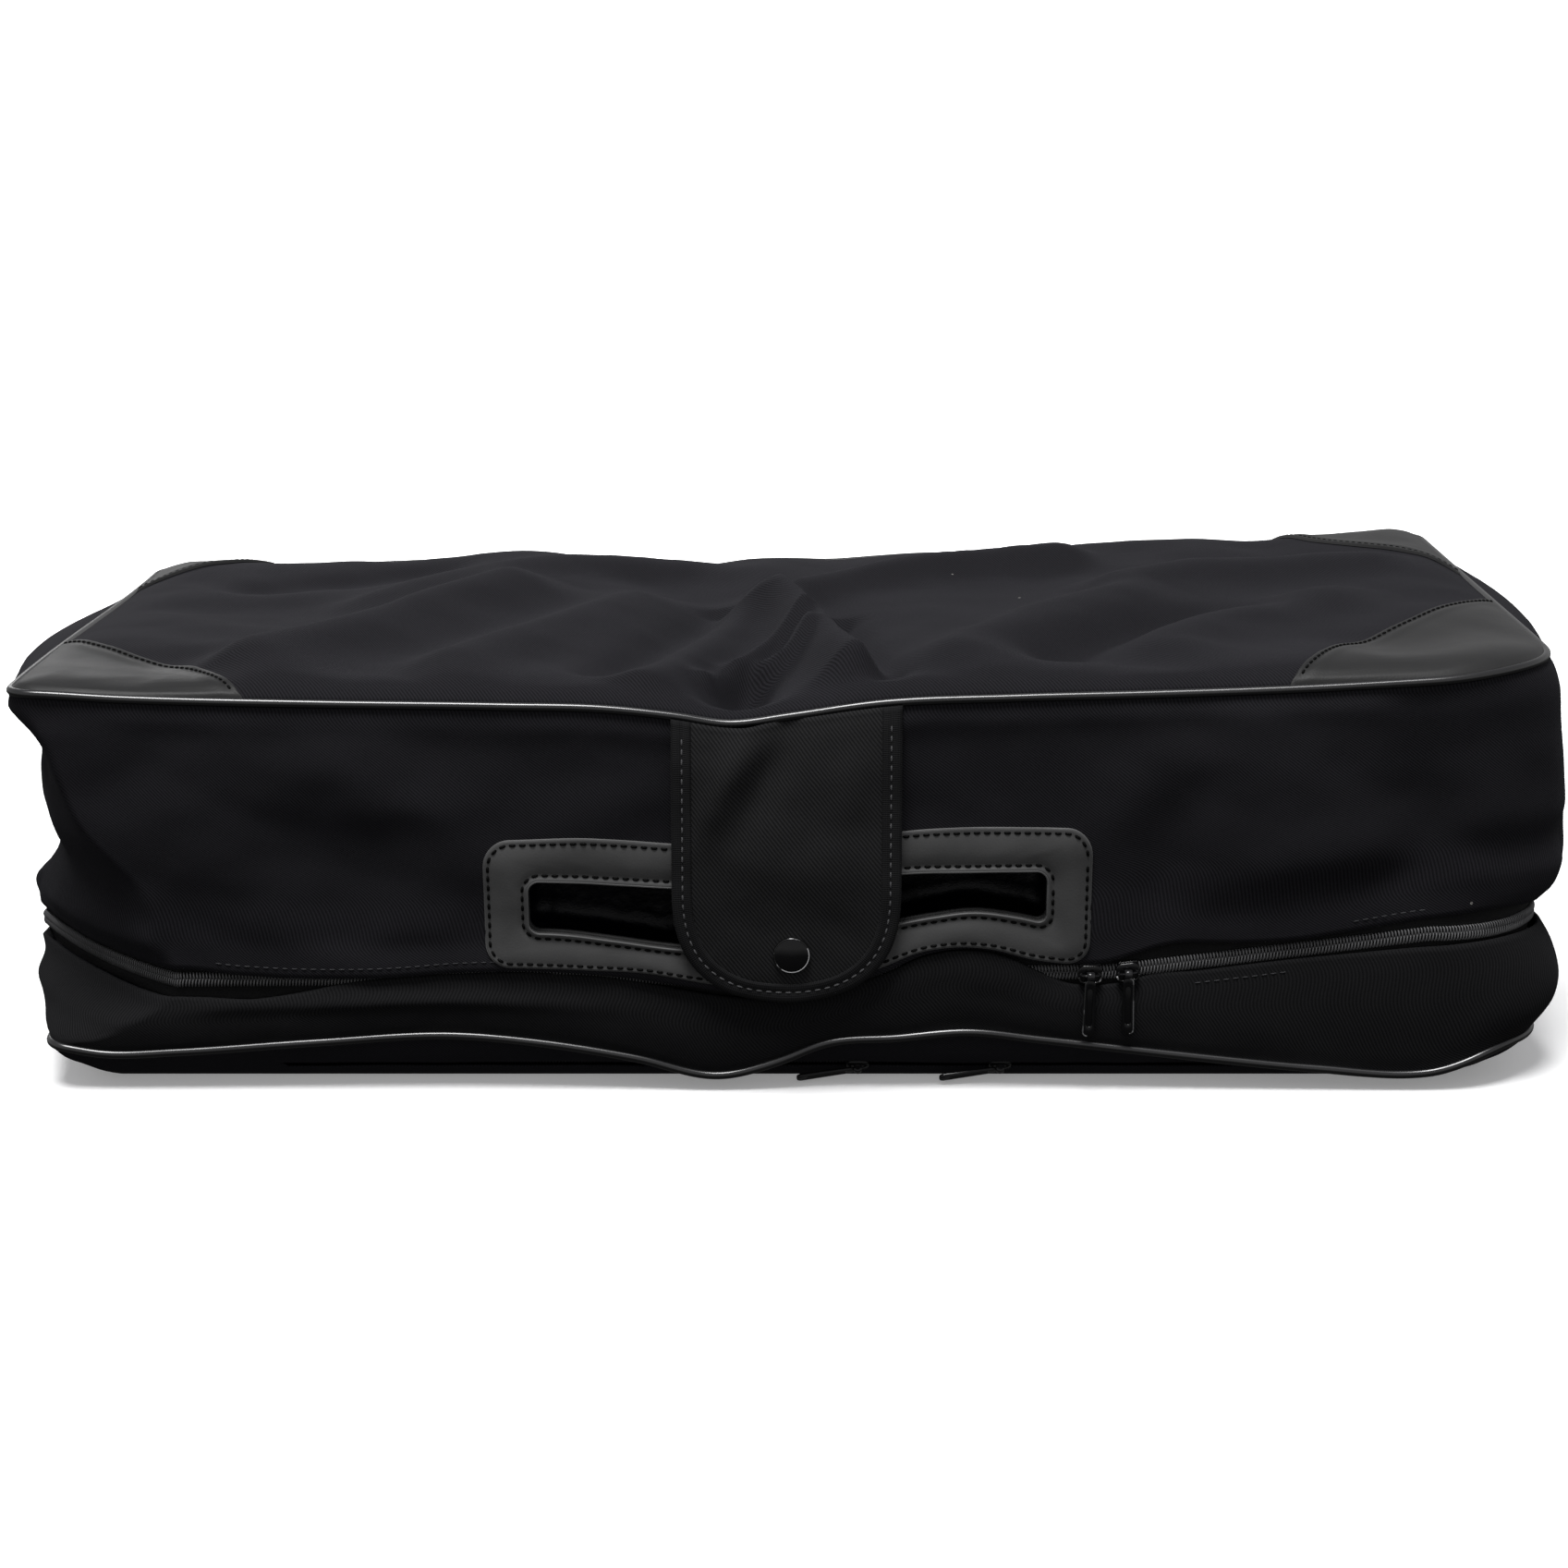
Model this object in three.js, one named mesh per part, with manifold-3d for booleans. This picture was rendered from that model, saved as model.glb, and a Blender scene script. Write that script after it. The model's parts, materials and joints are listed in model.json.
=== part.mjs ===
// Soft garment bag lying on its flat pocket side: a shallow base, a deep lid that opens on a zip round three sides,
// a cut-out grip in the lid's front gusset, and a snap flap that hangs over the grip.
// Millimetres, +Z up, the grip faces -Y. The origin is the bottom centre of the bounding box.
import * as THREE from "three";
import { mergeVertices } from "three/addons/utils/BufferGeometryUtils.js";
import Module from "manifold-3d";

const wasm = await Module();
wasm.setup();

// ---------- driving dimensions ----------
const LENGTH = 600; // along X, over the piping
const DEPTH = 300; // along Y, over the piping
const PIPING_R = 2;
const TOP_SEAM_Z = 158; // centre of the top piping
const BOTTOM_SEAM_Z = 18; // centre of the bottom piping
const CROWN = 12; // how far the top panel swells above its seam
const CORNER_R = 22; // plan radius of the walls' outer face
const WALL = 3; // padded gusset and panels
const GAP = 0.3; // between sewn neighbours
const HINGE_Z = 47; // the lid's hinge line along the back
const ZIP_LEFT_Z = 46.5; // main zip at the front left corner
const ZIP_SLIDER_Z = 50; // where it starts to climb, under its sliders
const ZIP_RIGHT_Z = 66; // at the front right corner
const ZIP_LEFT_X = -258;
const RISE_START_X = 130;
const RISE_END_X = 258;
const ZIP_SLOT = 7; // half the gap between the gussets at the zip
const ZIP_END_Y = 118; // the zip stops short of the back corners
const SLIDER_LEFT_X = 122.5;
const SLIDER_RIGHT_X = 137.5;
const LINING = 0.8;

const FLAP_LEFT_X = -44;
const FLAP_RIGHT_X = 46;
const FLAP_TOP_Z = 154;
const FLAP_STRAIGHT_Z = 96; // below this the sides round in to the tip
const FLAP_TIP_Z = 41;
const FLAP_LEAN_Z = 141; // above this the flap leans back to its seam
const FLAP_T = 2.2;
const BINDING_W = 8;
const BINDING_T = 0.8;

const FRAME_W = 241; // grip frame
const FRAME_H = 54;
const FRAME_R = 10;
const FRAME_X = 1.5;
const FRAME_Z = 81;
const GRIP_W = 206; // the hole for the hand
const GRIP_H = 24;
const GRIP_R = 5;
const FRAME_T = 2.2;
const SNAP_X = 3;
const SNAP_Z = 61;

const POCKET_INSET = 18; // how far the pocket panel's flat face stands in from its seam
const POCKET_WALL = 2;
const POCKET_SLOT = 6;
const POCKET_ZIP_X = 205; // the pocket zip's half length
const POCKET_SLIDER_LEFT_X = 30;
const POCKET_SLIDER_RIGHT_X = 88;
const PULL_DROOP = THREE.MathUtils.degToRad(9); // the pocket's pulls hang off the slope until they meet the floor

const PATCH_LEG = 94; // corner patches
const PATCH_T = 0.9;

// ---------- derived ----------
const WALL_X = LENGTH / 2 - PIPING_R; // the walls' outer faces
const WALL_Y = DEPTH / 2 - PIPING_R;
const FRONT = -WALL_Y;
const STRAIGHT_X = WALL_X - CORNER_R;
const FLAP_INNER = FRONT - 8.3;
const FLAP_OUTER = FLAP_INNER - FLAP_T;
const FLAP_ROOT_Y = FRONT - 2.6; // the flap's hinge line, just outside the piping
const CAP_FACE = FLAP_OUTER - 0.3 - 3.2;
const SHIFT_Y = -(CAP_FACE + DEPTH / 2) / 2; // brings the bounding box's centre to Y = 0

// ---------- colours ----------
const paint = (color, roughness, metalness = 0) => new THREE.MeshStandardMaterial({ color, roughness, metalness });
const CLOTH = paint(0x17171a, 0.9);
const LEATHER = paint(0x2a2a2b, 0.5);
const VINYL = paint(0x0b0b0c, 0.2);
const SATIN = paint(0x0c0c14, 0.5);
const TAPE = paint(0x121214, 0.85);
const COIL = paint(0x1b1b1d, 0.45);
const METAL = paint(0x17171a, 0.25, 0.8);
const ELASTIC = paint(0x141416, 0.8);

// ---------- solids ----------
// A closed geometry as a solid that can be cut and joined.
function solid(geometry) {
  const bare = geometry.clone();
  bare.deleteAttribute("normal");
  bare.deleteAttribute("uv");
  const merged = mergeVertices(bare, 1e-4);
  const vertProperties = new Float32Array(merged.attributes.position.array);
  const triVerts = new Uint32Array(merged.index.array);
  return new wasm.Manifold(new wasm.Mesh({ numProp: 3, vertProperties, triVerts }));
}

function geometryOf(manifold) {
  const { vertProperties, triVerts, numProp } = manifold.getMesh();
  if (numProp !== 3) throw new Error("a solid carries more than positions");
  const geometry = new THREE.BufferGeometry();
  geometry.setAttribute("position", new THREE.BufferAttribute(new Float32Array(vertProperties), 3));
  geometry.setIndex(new THREE.BufferAttribute(new Uint32Array(triVerts), 1));
  return geometry;
}

function box(x0, x1, y0, y1, z0, z1) {
  const g = new THREE.BoxGeometry(x1 - x0, y1 - y0, z1 - z0);
  g.translate((x0 + x1) / 2, (y0 + y1) / 2, (z0 + z1) / 2);
  return solid(g);
}

// A rounded rectangle centred on (cx, cy), as a list of points going counterclockwise.
function roundedRect(halfW, halfH, r, cx = 0, cy = 0, steps = 6) {
  const points = [];
  for (let corner = 0; corner < 4; corner++) {
    const sx = corner === 0 || corner === 3 ? 1 : -1;
    const sy = corner < 2 ? 1 : -1;
    for (let i = 0; i <= steps; i++) {
      const a = (corner + i / steps) * (Math.PI / 2);
      points.push(
        new THREE.Vector2(cx + sx * (halfW - r) + r * Math.cos(a), cy + sy * (halfH - r) + r * Math.sin(a)),
      );
    }
  }
  return points;
}

// The bag's plan outline, in by the given distance from the walls' outer face.
const plan = (inset) => roundedRect(WALL_X - inset, WALL_Y - inset, CORNER_R - inset);

// An outline in plan, raised from z0 to z1.
function prism(points, z0, z1) {
  const g = new THREE.ExtrudeGeometry(new THREE.Shape(points), { depth: z1 - z0, bevelEnabled: false });
  g.translate(0, 0, z0);
  return solid(g);
}

// An outline in the front view (x, z), made solid from y0 to y1.
function frontPlate(points, y0, y1) {
  const g = new THREE.ExtrudeGeometry(new THREE.Shape(points), { depth: y1 - y0, bevelEnabled: false });
  g.rotateX(Math.PI / 2);
  g.translate(0, y1, 0);
  return solid(g);
}

// Straight loft between two outlines with as many points each.
function loft(low, z0, high, z1) {
  const n = low.length;
  const vertices = [...low.map((p) => [p.x, p.y, z0]), ...high.map((p) => [p.x, p.y, z1])];
  const faces = [];
  for (let i = 0; i < n; i++) {
    const j = (i + 1) % n;
    faces.push([i, j, n + j], [i, n + j, n + i]);
  }
  for (const [a, b, c] of THREE.ShapeUtils.triangulateShape(low, [])) faces.push([c, b, a]);
  for (const [a, b, c] of THREE.ShapeUtils.triangulateShape(high, [])) faces.push([n + a, n + b, n + c]);
  return solid(indexed(vertices, faces));
}

function indexed(vertices, faces) {
  const g = new THREE.BufferGeometry();
  g.setAttribute("position", new THREE.Float32BufferAttribute(vertices.flat(), 3));
  g.setIndex(faces.flat());
  return g;
}

// What lies between two height fields over a grid in plan.
function slab(xs, ys, low, high) {
  const nx = xs.length;
  const ny = ys.length;
  const vertices = [];
  for (const height of [low, high]) {
    for (const y of ys) {
      for (const x of xs) vertices.push([x, y, height(x, y)]);
    }
  }
  const at = (i, j, level) => level * nx * ny + j * nx + i;
  const faces = [];
  for (let j = 0; j < ny - 1; j++) {
    for (let i = 0; i < nx - 1; i++) {
      const low4 = [at(i, j, 0), at(i + 1, j, 0), at(i + 1, j + 1, 0), at(i, j + 1, 0)];
      const high4 = [at(i, j, 1), at(i + 1, j, 1), at(i + 1, j + 1, 1), at(i, j + 1, 1)];
      faces.push([low4[2], low4[1], low4[0]], [low4[3], low4[2], low4[0]]);
      faces.push([high4[0], high4[1], high4[2]], [high4[0], high4[2], high4[3]]);
    }
  }
  const wall = (a, b, c, d) => faces.push([a, b, c], [a, c, d]);
  for (let i = 0; i < nx - 1; i++) {
    wall(at(i, 0, 0), at(i + 1, 0, 0), at(i + 1, 0, 1), at(i, 0, 1));
    wall(at(i + 1, ny - 1, 0), at(i, ny - 1, 0), at(i, ny - 1, 1), at(i + 1, ny - 1, 1));
  }
  for (let j = 0; j < ny - 1; j++) {
    wall(at(0, j + 1, 0), at(0, j, 0), at(0, j, 1), at(0, j + 1, 1));
    wall(at(nx - 1, j, 0), at(nx - 1, j + 1, 0), at(nx - 1, j + 1, 1), at(nx - 1, j, 1));
  }
  return solid(indexed(vertices, faces));
}

// A round bead that follows an outline in plan at one height and joins up with itself.
function bead(points, z, r, sides = 8) {
  const n = points.length;
  const vertices = [];
  const faces = [];
  points.forEach((p, i) => {
    const along = points[(i + 1) % n].clone().sub(points[(i + n - 1) % n]).normalize();
    for (let k = 0; k < sides; k++) {
      const a = (k / sides) * Math.PI * 2;
      const out = r * Math.cos(a);
      vertices.push([p.x + along.y * out, p.y - along.x * out, z + r * Math.sin(a)]);
    }
  });
  for (let i = 0; i < n; i++) {
    for (let k = 0; k < sides; k++) {
      const a = i * sides + k;
      const b = i * sides + ((k + 1) % sides);
      const c = ((i + 1) % n) * sides + ((k + 1) % sides);
      const d = ((i + 1) % n) * sides + k;
      faces.push([a, c, b], [a, d, c]);
    }
  }
  return solid(indexed(vertices, faces));
}

// A turned solid whose axis is Y: the profile is (radius, y) from one end of the axis to the other.
function turned(profile, x, z) {
  const g = new THREE.LatheGeometry(profile.map(([r, y]) => new THREE.Vector2(r, y)), 20);
  g.translate(x, 0, z);
  return solid(g);
}

// ---------- scene graph ----------
const bag = new THREE.Group();
bag.position.y = SHIFT_Y;

function add(name, manifold, material, parent = bag) {
  const mesh = new THREE.Mesh(geometryOf(manifold), material);
  mesh.name = name;
  parent.add(mesh);
}

// ---------- height fields ----------
const BEYOND = 30; // how far the cutting slabs run past the bag
const ZIP_XS = [-WALL_X - BEYOND, ZIP_LEFT_X, RISE_START_X, RISE_END_X, WALL_X + BEYOND];
const ZIP_YS = [-WALL_Y - BEYOND, -WALL_Y + CORNER_R, WALL_Y, WALL_Y + BEYOND];
const ramp = (v, a, b) => Math.min(1, Math.max(0, (v - a) / (b - a)));

// Height of the main zip: nearly level from the left, then a climb to the front right corner, and back to the hinge.
function zipHeight(x, y) {
  const front =
    ZIP_LEFT_Z +
    (ZIP_SLIDER_Z - ZIP_LEFT_Z) * ramp(x, ZIP_LEFT_X, RISE_START_X) +
    (ZIP_RIGHT_Z - ZIP_SLIDER_Z) * ramp(x, RISE_START_X, RISE_END_X);
  return front + (HINGE_Z - front) * ramp(y, -WALL_Y + CORNER_R, WALL_Y);
}

const zipBand = (below, above) =>
  slab(ZIP_XS, ZIP_YS, (x, y) => zipHeight(x, y) + below, (x, y) => zipHeight(x, y) + above);
const HIGH = 400; // far above the bag

const CROWN_XS = [-296, -272, -240, -200, -150, -75, 0, 75, 150, 200, 240, 272, 296];
const CROWN_YS = [-146, -124, -96, -60, 0, 60, 96, 124, 146];
const swell = (v, half) => {
  const inside = ramp(half - Math.abs(v), 14, 110);
  return inside * inside * (3 - 2 * inside);
};
const crownHeight = (x, y) => TOP_SEAM_Z + CROWN * Math.sqrt(swell(x, WALL_X) * swell(y, WALL_Y));

// ---------- gussets ----------
const ring = prism(plan(0), 0, 200).subtract(prism(plan(WALL), -1, 201));
const isFront = box(-STRAIGHT_X + GAP, STRAIGHT_X - GAP, -WALL_Y - 1, 0, -10, 300);
const isBack = box(-STRAIGHT_X + GAP, STRAIGHT_X - GAP, 0, WALL_Y + 1, -10, 300);
const isLeft = box(-WALL_X - 1, -STRAIGHT_X, -WALL_Y - 1, WALL_Y + 1, -10, 300);
const isRight = box(STRAIGHT_X, WALL_X + 1, -WALL_Y - 1, WALL_Y + 1, -10, 300);
const behindZip = box(-WALL_X - 1, WALL_X + 1, ZIP_END_Y, WALL_Y + 1, -10, 300);
const besideZip = box(-WALL_X - 1, WALL_X + 1, -WALL_Y - 1, ZIP_END_Y, -10, 300);

const aboveZip = zipBand(ZIP_SLOT, HIGH).intersect(besideZip).add(zipBand(0.4, HIGH).intersect(behindZip));
const belowZip = zipBand(-HIGH, -ZIP_SLOT).intersect(besideZip).add(zipBand(-HIGH, -0.4).intersect(behindZip));
const seamGap = PIPING_R + GAP;
const upperRing = ring.intersect(aboveZip).intersect(prism(plan(-5), 0, TOP_SEAM_Z - WALL - GAP));
const lowerRing = ring.intersect(belowZip).intersect(prism(plan(-5), BOTTOM_SEAM_Z + seamGap, 200));

const gripHole = (y0, y1, grow = 0) =>
  frontPlate(roundedRect(GRIP_W / 2 + grow, GRIP_H / 2 + grow, GRIP_R + grow, FRAME_X, FRAME_Z, 4), y0, y1);

add("upper_front_gusset", upperRing.intersect(isFront).subtract(gripHole(FRONT - 5, FRONT + 10, 0.5)), CLOTH);
add("upper_back_gusset", upperRing.intersect(isBack), CLOTH);
add("upper_left_end", upperRing.intersect(isLeft), CLOTH);
add("upper_right_end", upperRing.intersect(isRight), CLOTH);
add("lower_front_gusset", lowerRing.intersect(isFront), CLOTH);
add("lower_back_gusset", lowerRing.intersect(isBack), CLOTH);
add("lower_left_end", lowerRing.intersect(isLeft), CLOTH);
add("lower_right_end", lowerRing.intersect(isRight), CLOTH);

const HINGE_STRIP_H = 11;
add(
  "hinge_strip",
  box(-STRAIGHT_X, STRAIGHT_X, WALL_Y - WALL - GAP - 1, WALL_Y - WALL - GAP, HINGE_Z - 0.4 - HINGE_STRIP_H, HINGE_Z - 0.4),
  CLOTH,
);

// ---------- top ----------
add("top_piping", bead(plan(0), TOP_SEAM_Z, PIPING_R), VINYL);
add("bottom_piping", bead(plan(0), BOTTOM_SEAM_Z, PIPING_R), VINYL);

const panelOutline = plan(seamGap);
const crowned = (low, high) =>
  slab(CROWN_XS, CROWN_YS, (x, y) => crownHeight(x, y) + low, (x, y) => crownHeight(x, y) + high);
add("top_panel", crowned(-WALL, 0).intersect(prism(panelOutline, 0, 300)), CLOTH);

const patchSkin = crowned(GAP, GAP + PATCH_T).intersect(prism(plan(seamGap), 0, 300));
for (const [name, sx, sy] of [
  ["front_left_patch", -1, -1],
  ["front_right_patch", 1, -1],
  ["rear_left_patch", -1, 1],
  ["rear_right_patch", 1, 1],
]) {
  const corner = [
    new THREE.Vector2(sx * (WALL_X + 1), sy * (WALL_Y + 1)),
    new THREE.Vector2(sx * (WALL_X - PATCH_LEG), sy * (WALL_Y + 1)),
    new THREE.Vector2(sx * (WALL_X + 1), sy * (WALL_Y - PATCH_LEG)),
  ];
  if (sx * sy < 0) corner.reverse();
  add(name, patchSkin.intersect(prism(corner, 100, 300)), LEATHER);
}

// ---------- linings ----------
const liningRing = prism(plan(WALL + GAP), 0, 200).subtract(prism(plan(WALL + GAP + LINING), -1, 201));
const LINING_TOP_Z = TOP_SEAM_Z - WALL - GAP;
const lidLiningWall = liningRing
  .intersect(zipBand(12, HIGH))
  .intersect(prism(plan(0), 0, LINING_TOP_Z));
const lidLiningTop = prism(plan(WALL + GAP), LINING_TOP_Z - LINING, LINING_TOP_Z);
add(
  "lid_lining",
  lidLiningWall.add(lidLiningTop).subtract(gripHole(FRONT - 5, FRONT + 10, 0.5)),
  SATIN,
);

const FLOOR_TOP_Z = BOTTOM_SEAM_Z + 1.3;
add("base_floor", prism(panelOutline, FLOOR_TOP_Z - WALL, FLOOR_TOP_Z), CLOTH);
const baseLiningWall = liningRing
  .intersect(zipBand(-HIGH, -12))
  .intersect(prism(plan(0), FLOOR_TOP_Z + GAP, 200));
const BASE_LINING_Z = FLOOR_TOP_Z + GAP + LINING;
const baseLiningFloor = prism(plan(WALL + GAP), FLOOR_TOP_Z + GAP, BASE_LINING_Z);
add("base_lining", baseLiningWall.add(baseLiningFloor), SATIN);

// ---------- garment bands ----------
const BAND_W = 30;
const BAND_T = 1.4;
const BAND_X = 125;
const BAND_REACH = 128;
for (const [name, x] of [
  ["garment_band_left", -BAND_X],
  ["garment_band_right", BAND_X],
]) {
  const z = BASE_LINING_Z + GAP;
  add(name, box(x - BAND_W / 2, x + BAND_W / 2, -BAND_REACH, BAND_REACH, z, z + BAND_T), ELASTIC);
}

// ---------- main zip ----------
// Depths are measured in from the wall's outer face.
const COIL_IN = [0.8, 3];
const TAPE_IN = [3.3, 4.3];
const COIL_H = [0.9, 3.4];
const TAPE_H = [0.9, 10.5];
const COIL_END_Y = ZIP_END_Y - 4; // the last of each coil is under its stop
const band = ([near, far], endY) =>
  prism(plan(near), 0, 200)
    .subtract(prism(plan(far), -1, 201))
    .intersect(box(-WALL_X - 1, WALL_X + 1, -WALL_Y - 1, endY, -10, 300));
const coilRing = band(COIL_IN, COIL_END_Y);
const tapeRing = band(TAPE_IN, ZIP_END_Y);
add("upper_zip_coil", coilRing.intersect(zipBand(COIL_H[0], COIL_H[1])), COIL);
add("lower_zip_coil", coilRing.intersect(zipBand(-COIL_H[1], -COIL_H[0])), COIL);
add("upper_zip_tape", tapeRing.intersect(zipBand(TAPE_H[0], TAPE_H[1])), TAPE);
add("lower_zip_tape", tapeRing.intersect(zipBand(-TAPE_H[1], -TAPE_H[0])), TAPE);

const STOP_X = WALL_X - (COIL_IN[0] + COIL_IN[1]) / 2;
const stopAt = (x, z) => box(x - 1.1, x + 1.1, COIL_END_Y + GAP, ZIP_END_Y - 1, z - 3.2, z - 1);
add("main_zip_stop_left", stopAt(-STOP_X, zipHeight(-WALL_X, COIL_END_Y)), METAL);
add("main_zip_stop_right", stopAt(STOP_X, zipHeight(WALL_X, COIL_END_Y)), METAL);

// ---------- sliders and pulls, in a frame where x runs along the zip and -y faces out ----------
const PLATE_HALF_L = 5;
const PLATE_HALF_H = 3.7;
const BAIL_Y = -4;
const BAIL_HALF_L = 3.6;
const BAIL_R = 0.6;

function sliderBody() {
  const outer = frontPlate(roundedRect(PLATE_HALF_L, PLATE_HALF_H, 3, 0, 0, 4), -1.6, 0.3);
  const inner = frontPlate(roundedRect(PLATE_HALF_L - 0.6, PLATE_HALF_H - 0.6, 2.6, 0, 0, 4), 5.1, 6.1);
  const post = box(-4.4, -1, 0, 5.4, -0.5, 0.5);
  const bailSide = (x) => box(x - 0.6, x + 0.6, BAIL_Y - BAIL_R, -1.2, -0.9, 0.9);
  const bar = new THREE.CylinderGeometry(BAIL_R, BAIL_R, BAIL_HALF_L * 2, 10);
  bar.rotateZ(Math.PI / 2);
  bar.translate(0, BAIL_Y, 0);
  return outer.add(inner).add(post).add(bailSide(-BAIL_HALF_L)).add(bailSide(BAIL_HALF_L)).add(solid(bar));
}

const TAB_L = 23;
const TAB_HALF_W = 2.5;
const TAB_T = 1.4;

// A tab folded round the bail's bar: it swings about x. Its origin is the bar's centre.
function hangingPull() {
  const KNUCKLE_R = 1.8;
  const BORE_R = 1.1;
  const KNUCKLE_HALF = 1.7;
  const knuckle = new THREE.CylinderGeometry(KNUCKLE_R, KNUCKLE_R, KNUCKLE_HALF * 2, 14);
  knuckle.rotateZ(Math.PI / 2);
  const bore = new THREE.CylinderGeometry(BORE_R, BORE_R, KNUCKLE_HALF * 4, 14);
  bore.rotateZ(Math.PI / 2);
  const neck = box(-KNUCKLE_HALF, KNUCKLE_HALF, -TAB_T / 2, TAB_T / 2, -4, 0);
  const tab = frontPlate(
    roundedRect(TAB_HALF_W, TAB_L / 2 - 1, 1.1, 0, -TAB_L / 2 - 2, 3),
    -TAB_T / 2,
    TAB_T / 2,
  );
  return solid(knuckle).add(neck).add(tab).subtract(solid(bore));
}

// A tab with an eye that the bail passes through: it swings about z and lies along -x. Its origin is its pivot bar.
function eyePull() {
  const EYE_HALF_H = 1.5;
  const tab = frontPlate(
    roundedRect(TAB_L / 2, TAB_HALF_W, 1.1, -TAB_L / 2 + 0.6, 0, 3),
    -TAB_T / 2,
    TAB_T / 2,
  );
  const eye = frontPlate(roundedRect(2.6, EYE_HALF_H, 0.6, -3.1, 0, 3), -TAB_T, TAB_T);
  return tab.subtract(eye);
}

function zipSlider(name, pullName, place, pull, pullPlace) {
  add(name, sliderBody(), METAL, place);
  const held = new THREE.Group();
  held.position.copy(pullPlace.position);
  held.rotation.copy(pullPlace.rotation);
  place.add(held);
  add(pullName, pull, METAL, held);
}

function frameAt(x, y, z, rotX = 0, rotY = 0) {
  const group = new THREE.Group();
  group.position.set(x, y, z);
  group.rotation.set(rotX, rotY, 0);
  return group;
}

const levelSlope = Math.atan2(ZIP_SLIDER_Z - ZIP_LEFT_Z, RISE_START_X - ZIP_LEFT_X);
const climbSlope = Math.atan2(ZIP_RIGHT_Z - ZIP_SLIDER_Z, RISE_END_X - RISE_START_X);
for (const [side, x, slope] of [
  ["left", SLIDER_LEFT_X, levelSlope],
  ["right", SLIDER_RIGHT_X, climbSlope],
]) {
  const place = frameAt(x, FRONT, zipHeight(x, FRONT), 0, -slope);
  bag.add(place);
  zipSlider(`main_slider_${side}`, `main_pull_${side}`, place, hangingPull(), frameAt(0, BAIL_Y, 0, 0, slope));
}

// ---------- pocket on the underside ----------
const POCKET_TOP_Z = BOTTOM_SEAM_Z - seamGap;
const pocketOuter = loft(
  roundedRect(WALL_X - 2 - POCKET_INSET, WALL_Y - 2 - POCKET_INSET, CORNER_R - 2 - POCKET_INSET),
  0,
  plan(2),
  POCKET_TOP_Z,
);
const slant = Math.hypot(POCKET_INSET, POCKET_TOP_Z);
const sideways = (POCKET_WALL * slant) / POCKET_TOP_Z; // the wall's thickness measured level
const shrink = (POCKET_INSET * POCKET_WALL) / POCKET_TOP_Z;
const innerInset = 2 + POCKET_INSET + sideways - shrink;
const pocketInner = loft(
  roundedRect(WALL_X - innerInset, WALL_Y - innerInset, CORNER_R - 2 - POCKET_INSET),
  POCKET_WALL,
  roundedRect(WALL_X - 2 - sideways, WALL_Y - 2 - sideways, CORNER_R - 2 - 2),
  POCKET_TOP_Z + 0.01,
);
const tilt = Math.atan2(POCKET_INSET, POCKET_TOP_Z); // from the vertical wall to the slope

// The slope's own frame: x along the zip, -y out of the slope, its origin on the slope's outer face.
const onSlope = frameAt(0, FRONT + 2 + POCKET_INSET / 2, POCKET_TOP_Z / 2, tilt);
bag.add(onSlope);
onSlope.updateMatrix();
const toBag = (manifold) => solid(geometryOf(manifold).applyMatrix4(onSlope.matrix));

const pocketMouth = toBag(box(-POCKET_ZIP_X, POCKET_ZIP_X, -5, 8, -POCKET_SLOT, POCKET_SLOT));
add("pocket_panel", pocketOuter.subtract(pocketInner).subtract(pocketMouth), CLOTH);

const strip = (y, z) => box(-POCKET_ZIP_X + 1, POCKET_ZIP_X - 1, y[0], y[1], z[0], z[1]);
add("pocket_upper_coil", strip(COIL_IN, COIL_H), COIL, onSlope);
add("pocket_lower_coil", strip(COIL_IN, [-COIL_H[1], -COIL_H[0]]), COIL, onSlope);
add("pocket_upper_tape", strip(TAPE_IN, [COIL_H[0], 7]), TAPE, onSlope);
add("pocket_lower_tape", strip(TAPE_IN, [-5.4, -COIL_H[0]]), TAPE, onSlope);

const droop = frameAt(0, BAIL_Y + 1.3, 0);
droop.rotation.set(0, 0, PULL_DROOP);
for (const [side, x] of [
  ["left", POCKET_SLIDER_LEFT_X],
  ["right", POCKET_SLIDER_RIGHT_X],
]) {
  const place = frameAt(x, 0, 0);
  onSlope.add(place);
  zipSlider(`pocket_slider_${side}`, `pocket_pull_${side}`, place, eyePull(), droop);
}

// ---------- grip ----------
const frameOutline = roundedRect(FRAME_W / 2, FRAME_H / 2, FRAME_R, FRAME_X, FRAME_Z, 5);
const FRAME_FACE = FRONT - GAP - FRAME_T;
add(
  "handle_frame",
  frontPlate(frameOutline, FRAME_FACE, FRONT - GAP).subtract(gripHole(FRONT - 5, FRONT + 10)),
  LEATHER,
);
const BACKING_Y = FRONT + WALL + GAP + LINING + GAP;
add(
  "handle_backing",
  frontPlate(frameOutline, BACKING_Y, BACKING_Y + 2).subtract(gripHole(FRONT - 5, FRONT + 20)),
  LEATHER,
);

// ---------- flap ----------
function flapOutline(inset, topZ = FLAP_TOP_Z) {
  const cx = (FLAP_LEFT_X + FLAP_RIGHT_X) / 2;
  const halfW = (FLAP_RIGHT_X - FLAP_LEFT_X) / 2 - inset;
  const fall = FLAP_STRAIGHT_Z - FLAP_TIP_Z - inset;
  const points = [new THREE.Vector2(cx + halfW, topZ), new THREE.Vector2(cx - halfW, topZ)];
  const STEPS = 16;
  for (let i = 0; i <= STEPS; i++) {
    const a = Math.PI + (i / STEPS) * Math.PI;
    points.push(new THREE.Vector2(cx + halfW * Math.cos(a), FLAP_STRAIGHT_Z + fall * Math.sin(a)));
  }
  return points;
}

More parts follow.
